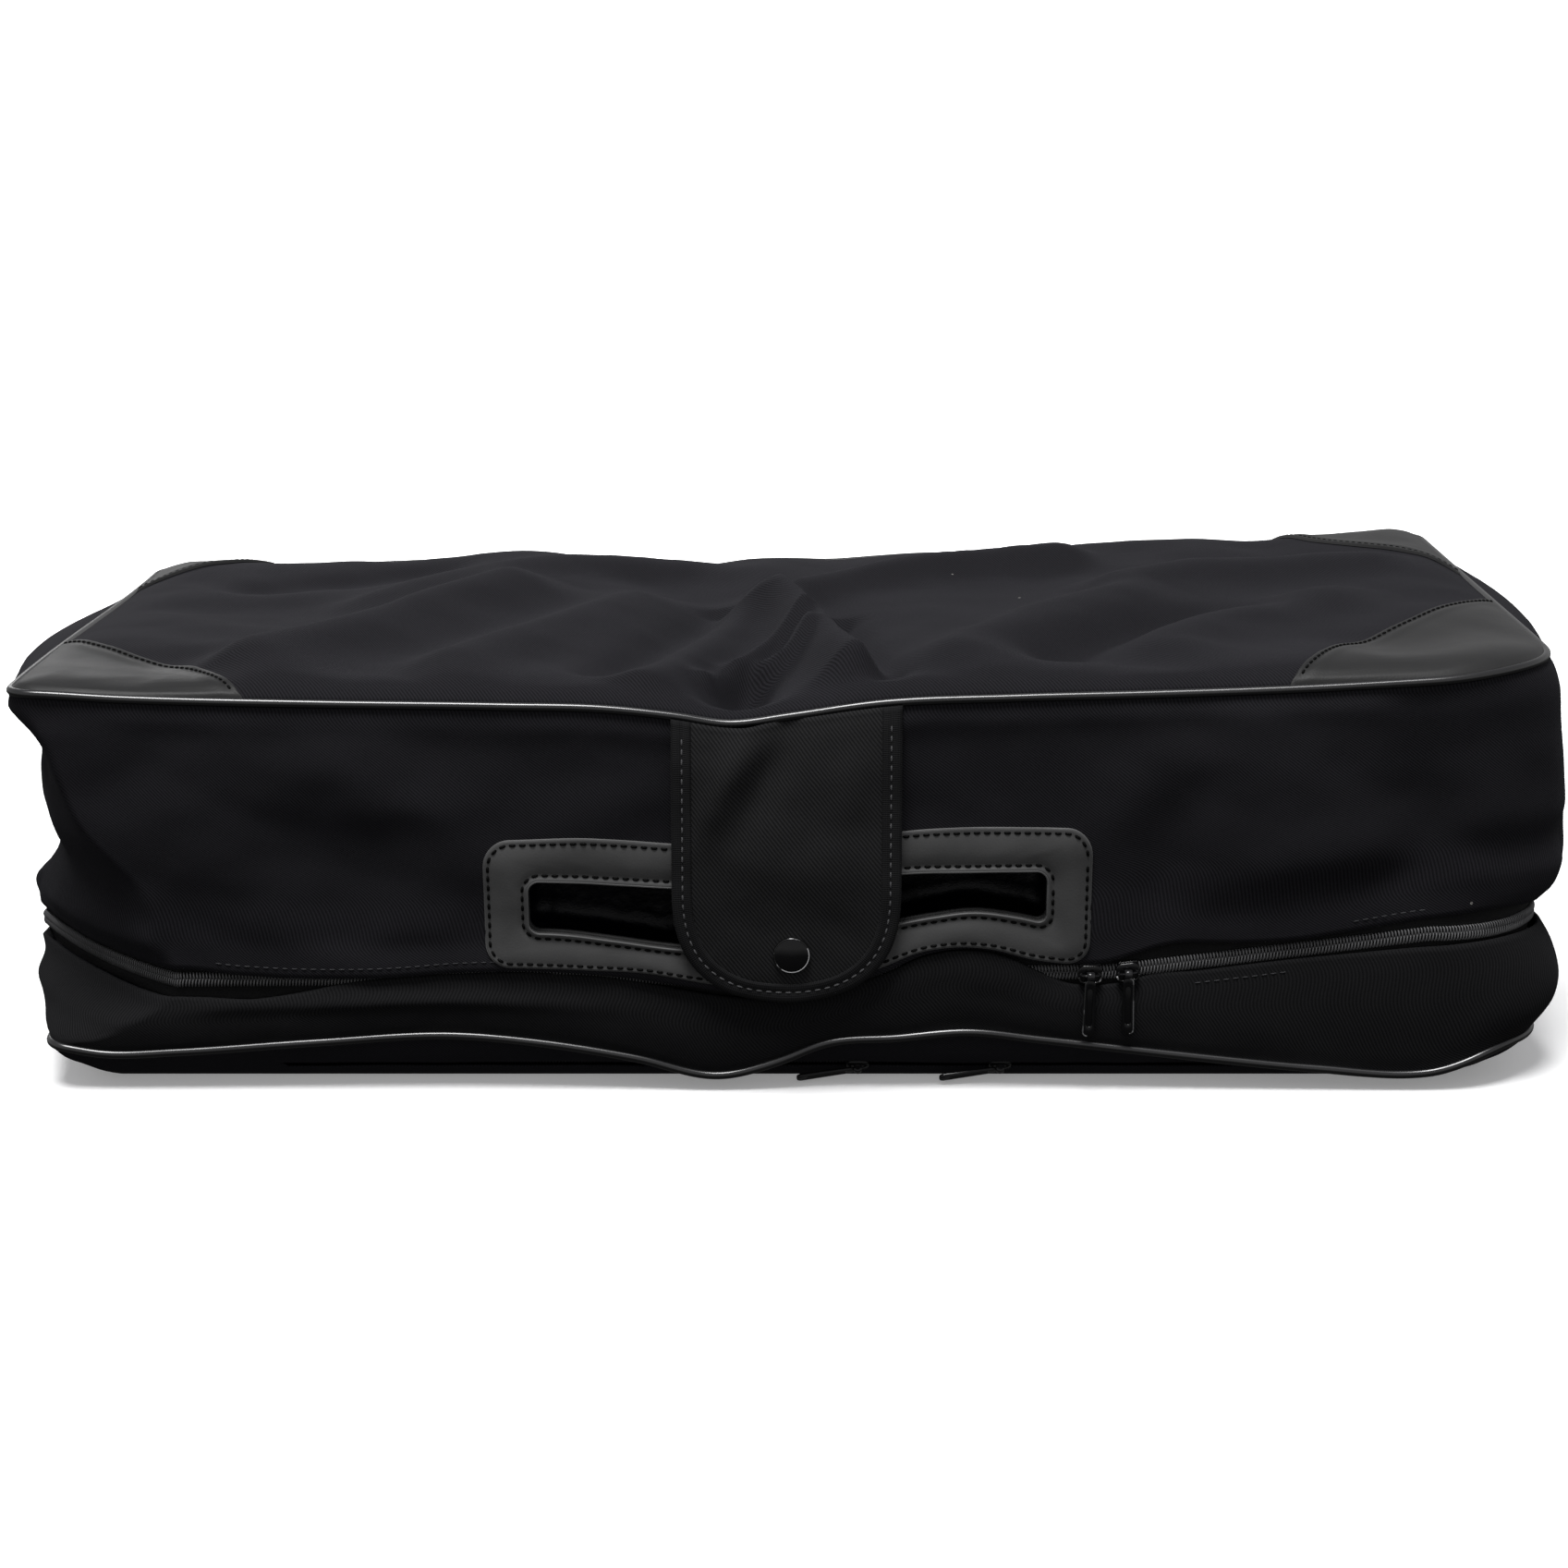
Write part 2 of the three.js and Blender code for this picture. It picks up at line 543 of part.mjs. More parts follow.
// The flap seen from its side: it leaves the seam under the piping, leans out over the grip frame, then hangs plumb.
function flapSheet(outline, grow) {
  const low = FLAP_TIP_Z - 5;
  const side = [
    [FLAP_OUTER - grow, low],
    [FLAP_INNER + grow, low],
    [FLAP_INNER + grow, FLAP_LEAN_Z],
    [FLAP_ROOT_Y + FLAP_T / 2 + grow, FLAP_TOP_Z],
    [FLAP_ROOT_Y - FLAP_T / 2 - grow, FLAP_TOP_Z],
    [FLAP_OUTER - grow, FLAP_LEAN_Z],
  ];
  const g = new THREE.ExtrudeGeometry(new THREE.Shape(side.map(([y, z]) => new THREE.Vector2(y, z))), {
    depth: LENGTH,
    bevelEnabled: false,
  });
  g.translate(0, 0, -LENGTH / 2);
  g.rotateX(Math.PI / 2);
  g.rotateZ(Math.PI / 2);
  return solid(g).intersect(frontPlate(outline, FLAP_OUTER - 20, FRONT));
}

const flapPanel = flapSheet(flapOutline(1.2), 0);
const flapGrown = flapSheet(flapOutline(1.2 - GAP), GAP);
const bindingOuter = flapSheet(flapOutline(0), BINDING_T);
const bindingInner = frontPlate(flapOutline(BINDING_W, FLAP_TOP_Z + 5), FLAP_OUTER - 20, FRONT);
add("flap_panel", flapPanel, CLOTH);
add("flap_binding", bindingOuter.subtract(bindingInner).subtract(flapGrown), CLOTH);

const capBase = FLAP_OUTER - 0.3;
add(
  "snap_cap",
  turned(
    [
      [0, CAP_FACE],
      [3.4, CAP_FACE + 0.15],
      [4.9, CAP_FACE + 0.7],
      [5.2, CAP_FACE + 1.3],
      [5.6, CAP_FACE + 1.2],
      [6.5, CAP_FACE + 1.8],
      [6.6, capBase],
      [0, capBase],
    ],
    SNAP_X,
    SNAP_Z,
  ),
  METAL,
);
const STUD_BASE = FRAME_FACE - GAP;
add(
  "snap_stud",
  turned(
    [
      [0, STUD_BASE - 3.2],
      [1.5, STUD_BASE - 3.2],
      [1.7, STUD_BASE - 2.6],
      [1.5, STUD_BASE - 0.9],
      [5, STUD_BASE - 0.9],
      [5, STUD_BASE],
      [0, STUD_BASE],
    ],
    SNAP_X,
    SNAP_Z,
  ),
  METAL,
);
const socketFar = FLAP_INNER + GAP;
const socketNear = STUD_BASE - 0.9 - GAP;
add(
  "snap_socket",
  turned(
    [
      [2.2, socketFar],
      [5.2, socketFar],
      [5.2, socketNear],
      [2.2, socketNear],
      [2.2, socketFar],
    ],
    SNAP_X,
    SNAP_Z,
  ),
  METAL,
);
const POST_Y = BACKING_Y + 2 + GAP;
add(
  "snap_post",
  turned(
    [
      [0, POST_Y],
      [5, POST_Y],
      [4.4, POST_Y + 1],
      [0, POST_Y + 1],
    ],
    SNAP_X,
    SNAP_Z,
  ),
  METAL,
);

export default bag;
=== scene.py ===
# The look of the garment bag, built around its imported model.
# Lengths are in millimetres until they reach a mesh, the camera or a lamp.
import json
import math

import bpy
import bmesh
import numpy as np
from mathutils import Matrix, Vector, noise
from mathutils.bvhtree import BVHTree


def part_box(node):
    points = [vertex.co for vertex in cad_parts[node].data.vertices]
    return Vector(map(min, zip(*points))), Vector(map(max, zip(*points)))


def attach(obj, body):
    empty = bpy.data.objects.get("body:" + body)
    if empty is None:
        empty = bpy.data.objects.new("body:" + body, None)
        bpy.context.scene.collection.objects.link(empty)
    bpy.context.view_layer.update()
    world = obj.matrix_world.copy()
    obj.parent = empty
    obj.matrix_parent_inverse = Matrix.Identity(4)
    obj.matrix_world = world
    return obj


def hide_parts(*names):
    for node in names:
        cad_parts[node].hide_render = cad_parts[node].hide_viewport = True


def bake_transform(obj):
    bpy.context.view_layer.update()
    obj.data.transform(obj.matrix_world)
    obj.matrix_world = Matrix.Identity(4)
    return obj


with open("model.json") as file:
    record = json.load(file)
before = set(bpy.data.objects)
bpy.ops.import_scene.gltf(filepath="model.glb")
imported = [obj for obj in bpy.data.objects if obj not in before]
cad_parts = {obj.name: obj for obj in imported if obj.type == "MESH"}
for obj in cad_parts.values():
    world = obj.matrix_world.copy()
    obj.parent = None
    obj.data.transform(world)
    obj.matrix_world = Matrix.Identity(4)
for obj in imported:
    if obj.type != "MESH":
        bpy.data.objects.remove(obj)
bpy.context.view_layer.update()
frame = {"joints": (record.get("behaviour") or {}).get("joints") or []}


def span(node, axis):
    """Where a CAD node starts and ends along an axis, in millimetres."""
    low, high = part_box(node)
    return low[axis] * 1000, high[axis] * 1000


# ---------- the frame's own numbers ----------
FRONT = span("upper_front_gusset", 1)[0]
BACK = span("upper_back_gusset", 1)[1]
HALF_X = span("upper_right_end", 0)[1]
MID_Y = (FRONT + BACK) / 2
HALF_Y = (BACK - FRONT) / 2
TOP_Z = sum(span("top_piping", 2)) / 2
BOTTOM_Z = sum(span("bottom_piping", 2)) / 2
HINGE_Z = 47
ZIP_LEFT_Z = 46.5
ZIP_SLIDER_Z = 50
ZIP_RIGHT_Z = 66
ZIP_END_Y = 118 + MID_Y


# ---------- small tools ----------
def smooth(t):
    t = np.clip(t, 0, 1)
    return t * t * (3 - 2 * t)


def mix(a, b, t):
    return a + (b - a) * t


def hermite(a, b, slope_a, slope_b, h, t):
    """The cubic from a to b over a step h, with a slope at each end."""
    ends = a * (1 + 2 * t) * (1 - t) ** 2 + b * t * t * (3 - 2 * t)
    return ends + h * (slope_a * t * (1 - t) ** 2 - slope_b * t * t * (1 - t))


def profile(points):
    """A smooth curve through (position, value) pairs, level beyond its ends."""
    xs = np.array([p[0] for p in points], float)
    vs = np.array([p[1] for p in points], float)
    slopes = np.gradient(vs, xs)
    slopes[0] = slopes[-1] = 0

    def at(x):
        x = np.clip(np.asarray(x, float), xs[0], xs[-1])
        i = np.clip(np.searchsorted(xs, x, side="right") - 1, 0, len(xs) - 2)
        h = xs[i + 1] - xs[i]
        return hermite(vs[i], vs[i + 1], slopes[i], slopes[i + 1], h, (x - xs[i]) / h)

    return at


def bump(x, centre, width):
    return np.exp(-(((x - centre) / width) ** 2))


def fractal(x, y, z, size, octaves=3):
    """Smooth seeded noise from about -1 to 1, whose largest features are size millimetres across."""
    total = 0.0
    weight = 1.0
    for k in range(octaves):
        f = 2**k / size
        total += weight * noise.noise(Vector((x * f + 17.3 * k, y * f - 9.1, z * f + 4.7)))
        weight *= 0.5
    return total


def link_object(name, mesh, body):
    """A new object in the scene, with the name of the body that it will ride on."""
    obj = bpy.data.objects.new(name, mesh)
    bpy.context.scene.collection.objects.link(obj)
    obj["body"] = body
    return obj


def new_object(name, vertices, faces, body, uvs=None):
    """A mesh object from millimetre points. uvs gives one (u, v) in millimetres for each vertex."""
    mesh = bpy.data.meshes.new(name)
    metres = [(v[0] / 1000, v[1] / 1000, v[2] / 1000) for v in vertices]
    mesh.from_pydata(metres, [], [tuple(f) for f in faces])
    if uvs is not None:
        layer = mesh.uv_layers.new(name="UVMap")
        for loop in mesh.loops:
            u, v = uvs[loop.vertex_index]
            layer.data[loop.index].uv = (u / 1000, v / 1000)
    mesh.update()
    mesh.shade_smooth()
    return link_object(name, mesh, body)


def grid_faces(rows, columns, wrap=False):
    faces = []
    last = columns if wrap else columns - 1
    for r in range(rows - 1):
        for c in range(last):
            d = (c + 1) % columns
            faces.append((r * columns + c, r * columns + d, (r + 1) * columns + d, (r + 1) * columns + c))
    return faces


def thicken(obj, amount, offset=-1.0):
    """Gives a sheet a real thickness in millimetres, inwards by default."""
    mod = obj.modifiers.new("thick", "SOLIDIFY")
    mod.thickness = amount / 1000
    mod.offset = offset
    mod.use_even_offset = False
    return obj


def settle(obj):
    """Applies an object's modifiers to its mesh."""
    graph = bpy.context.evaluated_depsgraph_get()
    mesh = bpy.data.meshes.new_from_object(obj.evaluated_get(graph))
    obj.modifiers.clear()
    obj.data = mesh
    return obj


def finish_piece(obj, material, replaces=()):
    """Paints a piece, puts it on its body and hides the CAD nodes that it stands for."""
    obj.data.materials.clear()
    obj.data.materials.append(material)
    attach(obj, obj["body"])
    if replaces:
        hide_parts(*replaces)
    return obj


# ---------- how the bag slouches ----------
# The lid's front is pulled out of line. Each profile says how far it lifts along the front, and each of
# LIFT_ROWS belongs to one of LIFT_HEIGHTS, nominal heights from the lid's lower edge to the top seam.
TOP_SAG = profile(
    [(-300, 7), (-260, 5), (-180, 3), (-110, 2), (-70, 1), (-42, -2), (-22, -5), (2, -2), (36, 3)]
    + [(90, 5.5), (145, 7), (200, 9), (252, 12), (298, 15)]
)
TOP_SAG_BACK = profile(
    [(-298, -3), (-246, -2), (-200, -1), (-165, 0.5), (-137, 2), (-110, 1.5), (-84, 0), (-40, -3)]
    + [(-16, 0.5), (0, 1), (23, 0.5), (43, 2), (65, 3.5), (104, 4), (141, 6.5), (192, 9.5)]
    + [(218, 8.5), (260, 11), (298, 14)]
)
LIFT_HEIGHTS = np.array([54, 69, 93, 108, 158], float)
LIFT_ROWS = (
    profile(
        [(-298, 0), (-180, -0.5), (-105, -1), (-75, -2), (-53, -3), (-31, -6.5), (-5, -8.5)]
        + [(21, -6.5), (38, -0.7), (55, 6), (70, 7.9), (82, 7.1), (100, 2.4), (113, 0.5), (125, -1)]
        + [(200, -2), (298, -2)]
    ),
    profile(
        [(-298, 0), (-110, -1.5), (-90, -2), (-70, -4.5), (-45, -8), (-5, -9), (25, -4), (45, 2), (60, 5)]
        + [(75, 7), (92, 5), (110, 1), (140, -2), (298, -2)]
    ),
    profile(
        [(-298, 1), (-110, -3), (-80, -4.5), (-45, -6.5), (0, -6), (45, -1), (80, 0), (110, 0.5)]
        + [(298, 4)]
    ),
    profile(
        [(-298, 2), (-118, -2), (-80, -1), (-45, -3.5), (0, -4), (45, 1), (60, 2.3), (118, 3)]
        + [(298, 6)]
    ),
    TOP_SAG,
)
# Where the cloth's edges run either side of the zip, along the front.
LID_EDGE = profile(
    [(-298, 53), (-258, 52), (-237, 51.4), (-222, 49.6), (-205, 48.4), (-158, 48.6), (-131, 50.6)]
    + [(-107, 51.4), (-86, 50.6), (-60, 48.4), (-44, 46.4), (-20, 43.6), (-5, 42.8), (10, 43)]
    + [(24, 45.5), (41, 51.6), (55, 58), (70, 60.8), (82, 60.2), (92, 57.6), (103, 54.9), (116, 54)]
    + [(128, 54.4), (139, 57.6), (150, 61.4), (159, 63.6), (170, 64.2), (184, 64.8), (202, 66)]
    + [(235, 70), (258, 72.4), (298, 74)]
)
BASE_EDGE = profile(
    [(-298, 40), (-258, 39.5), (-231, 39.4), (-212, 39), (-194, 41.4), (-176, 45.5), (-158, 47.7)]
    + [(-131, 49.6), (-107, 50.2), (-86, 49.4), (-60, 46.4), (-44, 43.2), (-20, 39.6), (0, 38.6)]
    + [(15, 41), (30, 46), (41, 50), (55, 56.6), (70, 59.4), (82, 58.6), (92, 55.6), (103, 50)]
    + [(112, 46), (120, 44.6), (137, 46), (146, 48.8), (166, 50.6), (184, 53), (202, 55.2)]
    + [(235, 58.6), (258, 60.8), (298, 62.5)]
)
BOTTOM_WAVE = profile(
    [(-298, 1), (-273, -2.5), (-245, -1.5), (-190, 2.5), (-130, 5.5), (-95, 2), (-60, -4), (-25, -11.5)]
    + [(-2, -5.5), (16, 2), (45, 4.5), (75, 7), (102, 4), (140, -0.5), (175, -4.5), (215, -8.5)]
    + [(260, -10.5), (298, 0)]
)

# The front corners are sharp at the piping and slack lower down. Each row is how far the corner's curve
# reaches along the front and along the end, by height.
LEFT_REACH_X = profile(
    [(0, 30), (18, 9), (30, 34), (42, 52), (50, 54), (62, 50), (84, 44), (111, 20), (136, 10), (158, 4)]
)
LEFT_REACH_Y = profile(
    [(0, 34), (18, 14), (30, 50), (47, 84), (84, 76), (111, 60), (136, 34), (150, 12), (158, 6)]
)
LEFT_PULL = profile(
    [(18, 0), (30, 0.5), (47, 0.75), (62, 0.6), (84, 0.5), (125, 0.4), (150, 0.1), (158, 0)]
)
RIGHT_REACH_X = profile([(0, 44), (18, 30), (60, 38), (110, 40), (150, 44), (158, 45)])
RIGHT_REACH_Y = profile([(0, 44), (18, 34), (60, 50), (110, 50), (150, 46), (158, 45)])
REAR_REACH = profile([(0, 36), (18, 30), (47, 34), (110, 32), (158, 13)])
LEFT_BULGE = profile(
    [(10, 0), (18, 0), (22, 3), (29, 10), (36, 14), (44, 18), (51, 20), (59, 21), (66, 18)]
    + [(74, 12), (81, 7), (89, 6), (96, 8), (104, 10), (111, 10), (119, 9), (128, 6), (143, 6)]
    + [(150, 8), (158, 6)]
)
LEFT_MID_BULGE = profile(
    [(10, 0), (18, 1), (47, 1), (80, 3), (110, 8), (135, 15), (150, 18), (155, 14), (158, 0)]
)
RIGHT_BULGE = profile(
    [(10, 6), (18, 10), (22, 13), (29, 18), (36, 20), (44, 20), (52, 18), (59, 15), (65, 13)]
    + [(71, 20), (78, 23), (84, 23), (90, 22), (100, 21), (115, 19), (130, 17), (145, 15), (154, 12)]
    + [(158, 9)]
)
RIGHT_MID_BULGE = profile(
    [(10, 0), (18, 0), (60, 0), (100, 1), (125, 5), (140, 9), (150, 12), (155, 9), (158, 0)]
)
BACK_BULGE = profile(
    [(10, 0), (18, 1), (30, 4), (41, -0.6), (47, -1.6), (53, -0.6), (68, 6), (110, 11), (145, 8)]
    + [(158, 0)]
)


def zip_height(x, y):
    """The main zip's centre line, as the CAD has it."""
    front = (
        ZIP_LEFT_Z
        + (ZIP_SLIDER_Z - ZIP_LEFT_Z) * np.clip((x + 258) / 388, 0, 1)
        + (ZIP_RIGHT_Z - ZIP_SLIDER_Z) * np.clip((x - 130) / 128, 0, 1)
    )
    return mix(front, HINGE_Z, np.clip((y - FRONT - 22) / (2 * HALF_Y - 22), 0, 1))


def chain_sag(x, y):
    """How far the closed zip dips and lifts with the cloth behind and beside the flap."""
    give = -3.6 * bump(x, -15, 26) + 1.6 * bump(x, 36, 14)
    return give * (1 - smooth((y - FRONT) / 20))


# Columns of points round the bag: from the middle of the back by the left, the front and the right.
PLAN = (
    ("back_left_half", 32),
    ("corner_bl", 14),
    ("left", 64),
    ("corner_fl", 26),
    ("front", 200),
    ("corner_fr", 16),
    ("right", 64),
    ("corner_br", 14),
    ("back_right_half", 33),
)
COLUMNS = []
for stretch, count in PLAN:
    COLUMNS += [(stretch, i / count) for i in range(count)]
NC = len(COLUMNS)
IS_FRONT = np.array([name == "front" for name, _ in COLUMNS])
IS_LEFT = np.array([name in ("left", "corner_fl") for name, _ in COLUMNS])
IS_RIGHT = np.array([name in ("right", "corner_fr") for name, _ in COLUMNS])
ALONG = np.array([t for _, t in COLUMNS])
FRONT_WEIGHT = IS_FRONT * smooth(ALONG / 0.06) * smooth((1 - ALONG) / 0.06)


def arc(a, b, t, turn_first):
    """A quarter of an ellipse from a to b. turn_first says that it leaves a along X."""
    c, d = 1 - math.cos(t * math.pi / 2), math.sin(t * math.pi / 2)
    if turn_first:
        return (mix(a[0], b[0], d), mix(a[1], b[1], c))
    return (mix(a[0], b[0], c), mix(a[1], b[1], d))


def bezier(a, k, b, t):
    return tuple(a[i] * (1 - t) ** 2 + 2 * k[i] * t * (1 - t) + b[i] * t * t for i in range(2))


def plan_level(left_z, right_z=None, inset=0.0):
    """The bag's outline at one height, a point for every column. right_z is the right end's own height."""
    right_z = left_z if right_z is None else right_z
    hx = HALF_X - inset
    y0 = FRONT + inset
    y1 = BACK - inset
    keep = max(0.35, 1 - inset / 60)
    lx, ly = float(LEFT_REACH_X(left_z)) * keep, float(LEFT_REACH_Y(left_z)) * keep
    rx, ry = float(RIGHT_REACH_X(right_z)) * keep, float(RIGHT_REACH_Y(right_z)) * keep
    rr = float(REAR_REACH(left_z)) * keep
    pull = float(LEFT_PULL(left_z))
    lb, rb, bb = float(LEFT_BULGE(left_z)), float(RIGHT_BULGE(right_z)), float(BACK_BULGE(left_z))
    lm, rm = float(LEFT_MID_BULGE(left_z)), float(RIGHT_MID_BULGE(right_z))
    end_l = (-hx - lb, y0 + ly)
    end_r = (hx + rb, y0 + ry)
    crease_l = (-hx + lx, y0)
    crease_r = (hx - rx, y0)
    rear_l = (-hx - lb * 0.5, y1 - rr)
    rear_r = (hx + rb * 0.8, y1 - rr)
    knee_l = tuple(mix((-hx - lb * 0.4, y0)[i], (end_l[i] + crease_l[i]) / 2, pull) for i in range(2))

    def back(x):
        return (x, y1 + bb * (1 - (x / hx) ** 2))

    points = []
    for name, t in COLUMNS:
        if name == "back_left_half":
            p = back(mix(0, -hx + rr, t))
        elif name == "corner_bl":
            p = arc(back(-hx + rr), rear_l, t, True)
        elif name == "left":
            p = (mix(rear_l[0], end_l[0], t) - lm * math.sin(math.pi * t), mix(rear_l[1], end_l[1], t))
        elif name == "corner_fl":
            p = bezier(end_l, knee_l, crease_l, t)
        elif name == "front":
            p = (mix(crease_l[0], crease_r[0], t), y0)
        elif name == "corner_fr":
            p = arc(crease_r, end_r, t, True)
        elif name == "right":
            p = (mix(end_r[0], rear_r[0], t) + rm * math.sin(math.pi * t), mix(end_r[1], rear_r[1], t))
        elif name == "corner_br":
            p = arc(rear_r, back(hx - rr), t, False)
        else:
            p = back(mix(hx - rr, 0, t))
        points.append(p)
    return np.array(points)


def outward(points):
    """Unit normals of a closed outline, pointing out of the bag."""
    ahead = np.roll(points, -1, axis=0) - np.roll(points, 1, axis=0)
    normal = np.stack([ahead[:, 1], -ahead[:, 0]], axis=1)
    normal /= np.maximum(np.linalg.norm(normal, axis=1), 1e-9)[:, None]
    if ((points - points.mean(axis=0)) * normal).sum() < 0:
        normal = -normal
    return normal


def front_lift(x, z):
    """How far the lid's front is lifted at a nominal place, between the rows above."""
    x, z = np.broadcast_arrays(np.asarray(x, float), np.asarray(z, float))
    shape = x.shape
    x, z = x.ravel(), np.clip(z.ravel(), LIFT_HEIGHTS[0], LIFT_HEIGHTS[-1])
    values = np.array([row(x) for row in LIFT_ROWS])
    slopes = np.gradient(values, LIFT_HEIGHTS, axis=0)
    i = np.clip(np.searchsorted(LIFT_HEIGHTS, z, side="right") - 1, 0, len(LIFT_HEIGHTS) - 2)
    n = np.arange(len(x))
    h = LIFT_HEIGHTS[i + 1] - LIFT_HEIGHTS[i]
    t = (z - LIFT_HEIGHTS[i]) / h
    return hermite(values[i, n], values[i + 1, n], slopes[i, n], slopes[i + 1, n], h, t).reshape(shape)


def top_sag(x, y):
    """How far the lid's top seam stands above the CAD's."""
    return mix(TOP_SAG(x), TOP_SAG_BACK(x), smooth((y - FRONT) / (BACK - FRONT)))


def lid_lift(x, y, z):
    """How far any place on the lid's wall stands above its nominal height."""
    rest = smooth((z - 54) / (TOP_Z - 54)) * top_sag(x, y)
    return mix(front_lift(x, z), rest, smooth((y - FRONT) / 50))


def seam_z(x, y):
    return TOP_Z + lid_lift(x, y, TOP_Z)


def bottom_lift(x, y):
    """How far the bottom seam stands above the CAD's."""
    return BOTTOM_WAVE(x) * (1 - smooth((y - FRONT) / 70))


def front_swell(x, z):
    """How far the lid's front stands out (towards -Y) from the CAD's flat gusset."""
    out = 4.0 * bump(x, 205, 80) * bump(z, 112, 34)
    slope = smooth(((z - 158) + 0.50 * (x + 300)) / 46)
    low_part = mix(0.5, 1, smooth((z - 60) / 40))
    out += 8.0 * slope * smooth((152 - z) / 34) * (1 - smooth((x + 190) / 130)) * low_part
    out -= 3.4 * bump(x - 0.1 * (z - 100), 152, 13) * bump(z, 98, 30)
    out -= 2.4 * bump(z - 0.10 * (x - 140), 77, 6.5) * smooth((x - 150) / 60)
    out += 2.4 * bump(z - 0.10 * (x - 140), 90, 11) * smooth((x - 160) / 60)
    out -= 0.7 * bump(z + 0.45 * (x - 240), 118, 9) * smooth((x - 190) / 40)
    out += 1.2 * bump(z - 0.55 * (x - 150), 124, 14) * bump(x, 150, 40)
    out += 2.2 * bump(z - 0.3 * (x + 40), 128, 12) * bump(x, -72, 34)
    out += 1.2 * bump(z, 151, 6)
    return out


def cloth_noise(x, y, z, size, octaves=3):
    flat = zip(np.ravel(x), np.ravel(y), np.ravel(z))
    return np.array([fractal(a, b, c, size, octaves) for a, b, c in flat]).reshape(np.shape(x))


def lid_out(x, y, z, front=1.0):
    """How far the lid's wall stands out of its outline. front is 1 on the front and 0 elsewhere."""
    x, y, z = np.broadcast_arrays(np.asarray(x, float), np.asarray(y, float), np.asarray(z, float))
    low = smooth((64 - z) / 12)
    out = front_swell(x, z)
    out = out + 4.5 * bump(x, -5, 42) * low
    out = out + 1.6 * low * smooth((x + 215) / 50) * (1 - smooth((x - 96) / 20))
    out = out * front
    roll = 1 - smooth(np.abs(z - 104) / 60)
    slack = mix(3.4, 2.0, np.clip(front, 0, 1))
    out = out + slack * roll * cloth_noise(x, y, z, 95) + 0.6 * cloth_noise(x + 300, y, z * 1.3, 28, 2)
    return out * smooth((TOP_Z + 1 - z) / 10)


def lid_front(x, z, stand=0.0):
    """A place on the lid's front face, stand millimetres out from the cloth."""
    x, z = np.broadcast_arrays(np.asarray(x, float), np.asarray(z, float))
    y = np.full(x.shape, FRONT)
    return np.stack([x, y - lid_out(x, y, z) - stand, z + lid_lift(x, y, z)], axis=-1)


def lid_edge(x, y):
    """Nominal height of the lid's lower edge: along the zip, and on the hinge line behind its ends."""
    side = zip_height(x, y) + 0.5 + 4.5 * (1 - smooth((y - ZIP_END_Y + 6) / 8))
    front = LID_EDGE(x) - LIFT_ROWS[0](x)
    return mix(front, side, smooth((y - FRONT) / 40))


def base_edge(x, y):
    side = zip_height(x, y) - 0.5 - 4.5 * (1 - smooth((y - ZIP_END_Y + 6) / 8))
    return mix(BASE_EDGE(x), side, smooth((y - FRONT) / 40))


# ---------- materials ----------
def material(name):
    mat = bpy.data.materials.new(name)
    mat.use_nodes = True
    tree = mat.node_tree
    return mat, tree, tree.nodes["Principled BSDF"]


def node(tree, kind, **values):
    """A new node. A key that starts with in_ sets an input, and any other key a property."""
    made = tree.nodes.new(kind)
    for key, value in values.items():
        if key.startswith("in_"):
            made.inputs[key[3:].replace("_", " ")].default_value = value
        else:
            setattr(made, key, value)
    return made


def texture(tree, kind, coordinates="Object", **values):
    """A texture node, read in the piece's own coordinates or by its UV map."""
    made = node(tree, "ShaderNodeTex" + kind, **values)
    tree.links.new(node(tree, "ShaderNodeTexCoord").outputs[coordinates], made.inputs[0])
    return made


def noise_node(tree, scale, detail, coordinates="Object", **values):
    return texture(tree, "Noise", coordinates, in_Scale=scale, in_Detail=detail, **values).outputs[0]


def split_node(tree, coordinates):
    """The three parts of a texture coordinate."""
    split = node(tree, "ShaderNodeSeparateXYZ")
    tree.links.new(node(tree, "ShaderNodeTexCoord").outputs[coordinates], split.inputs[0])
    return split.outputs


def math_node(tree, operation, a, b=None, c=None):
    made = tree.nodes.new("ShaderNodeMath")
    made.operation = operation
    for i, value in enumerate((a, b, c)):
        if value is None:
            continue
        if isinstance(value, (int, float)):
            made.inputs[i].default_value = value
        else:
            tree.links.new(value, made.inputs[i])
    return made.outputs[0]


def scaled(tree, value, by, plus):
    return math_node(tree, "MULTIPLY_ADD", value, by, plus)


def ripple_node(tree, value, k):
    return math_node(tree, "SINE", math_node(tree, "MULTIPLY", value, k))


def ramp_node(tree, source, stops):
    made = tree.nodes.new("ShaderNodeValToRGB")
    ramp = made.color_ramp
    while len(ramp.elements) < len(stops):
        ramp.elements.new(0.5)
    for element, (position, color) in zip(ramp.elements, stops):
        element.position = position
        element.color = (*color, 1)
    tree.links.new(source, made.inputs[0])
    return made.outputs[0]


def blend_node(tree, amount, first, second):
    """A mix of two colours. Each is a socket or a plain colour."""
    made = node(tree, "ShaderNodeMix", data_type="RGBA")
    tree.links.new(amount, made.inputs[0])
    for socket, color in ((made.inputs[6], first), (made.inputs[7], second)):
        if isinstance(color, tuple):
            socket.default_value = (*color, 1)
        else:
            tree.links.new(color, socket)
    return made.outputs[2]


def surface(tree, shader, color, rough, **settings):
    """Links a colour and a roughness, and sets the shader's other inputs."""
    tree.links.new(color, shader.inputs["Base Color"])
    tree.links.new(rough, shader.inputs["Roughness"])
    for key, value in settings.items():
        shader.inputs[key.replace("_", " ")].default_value = value


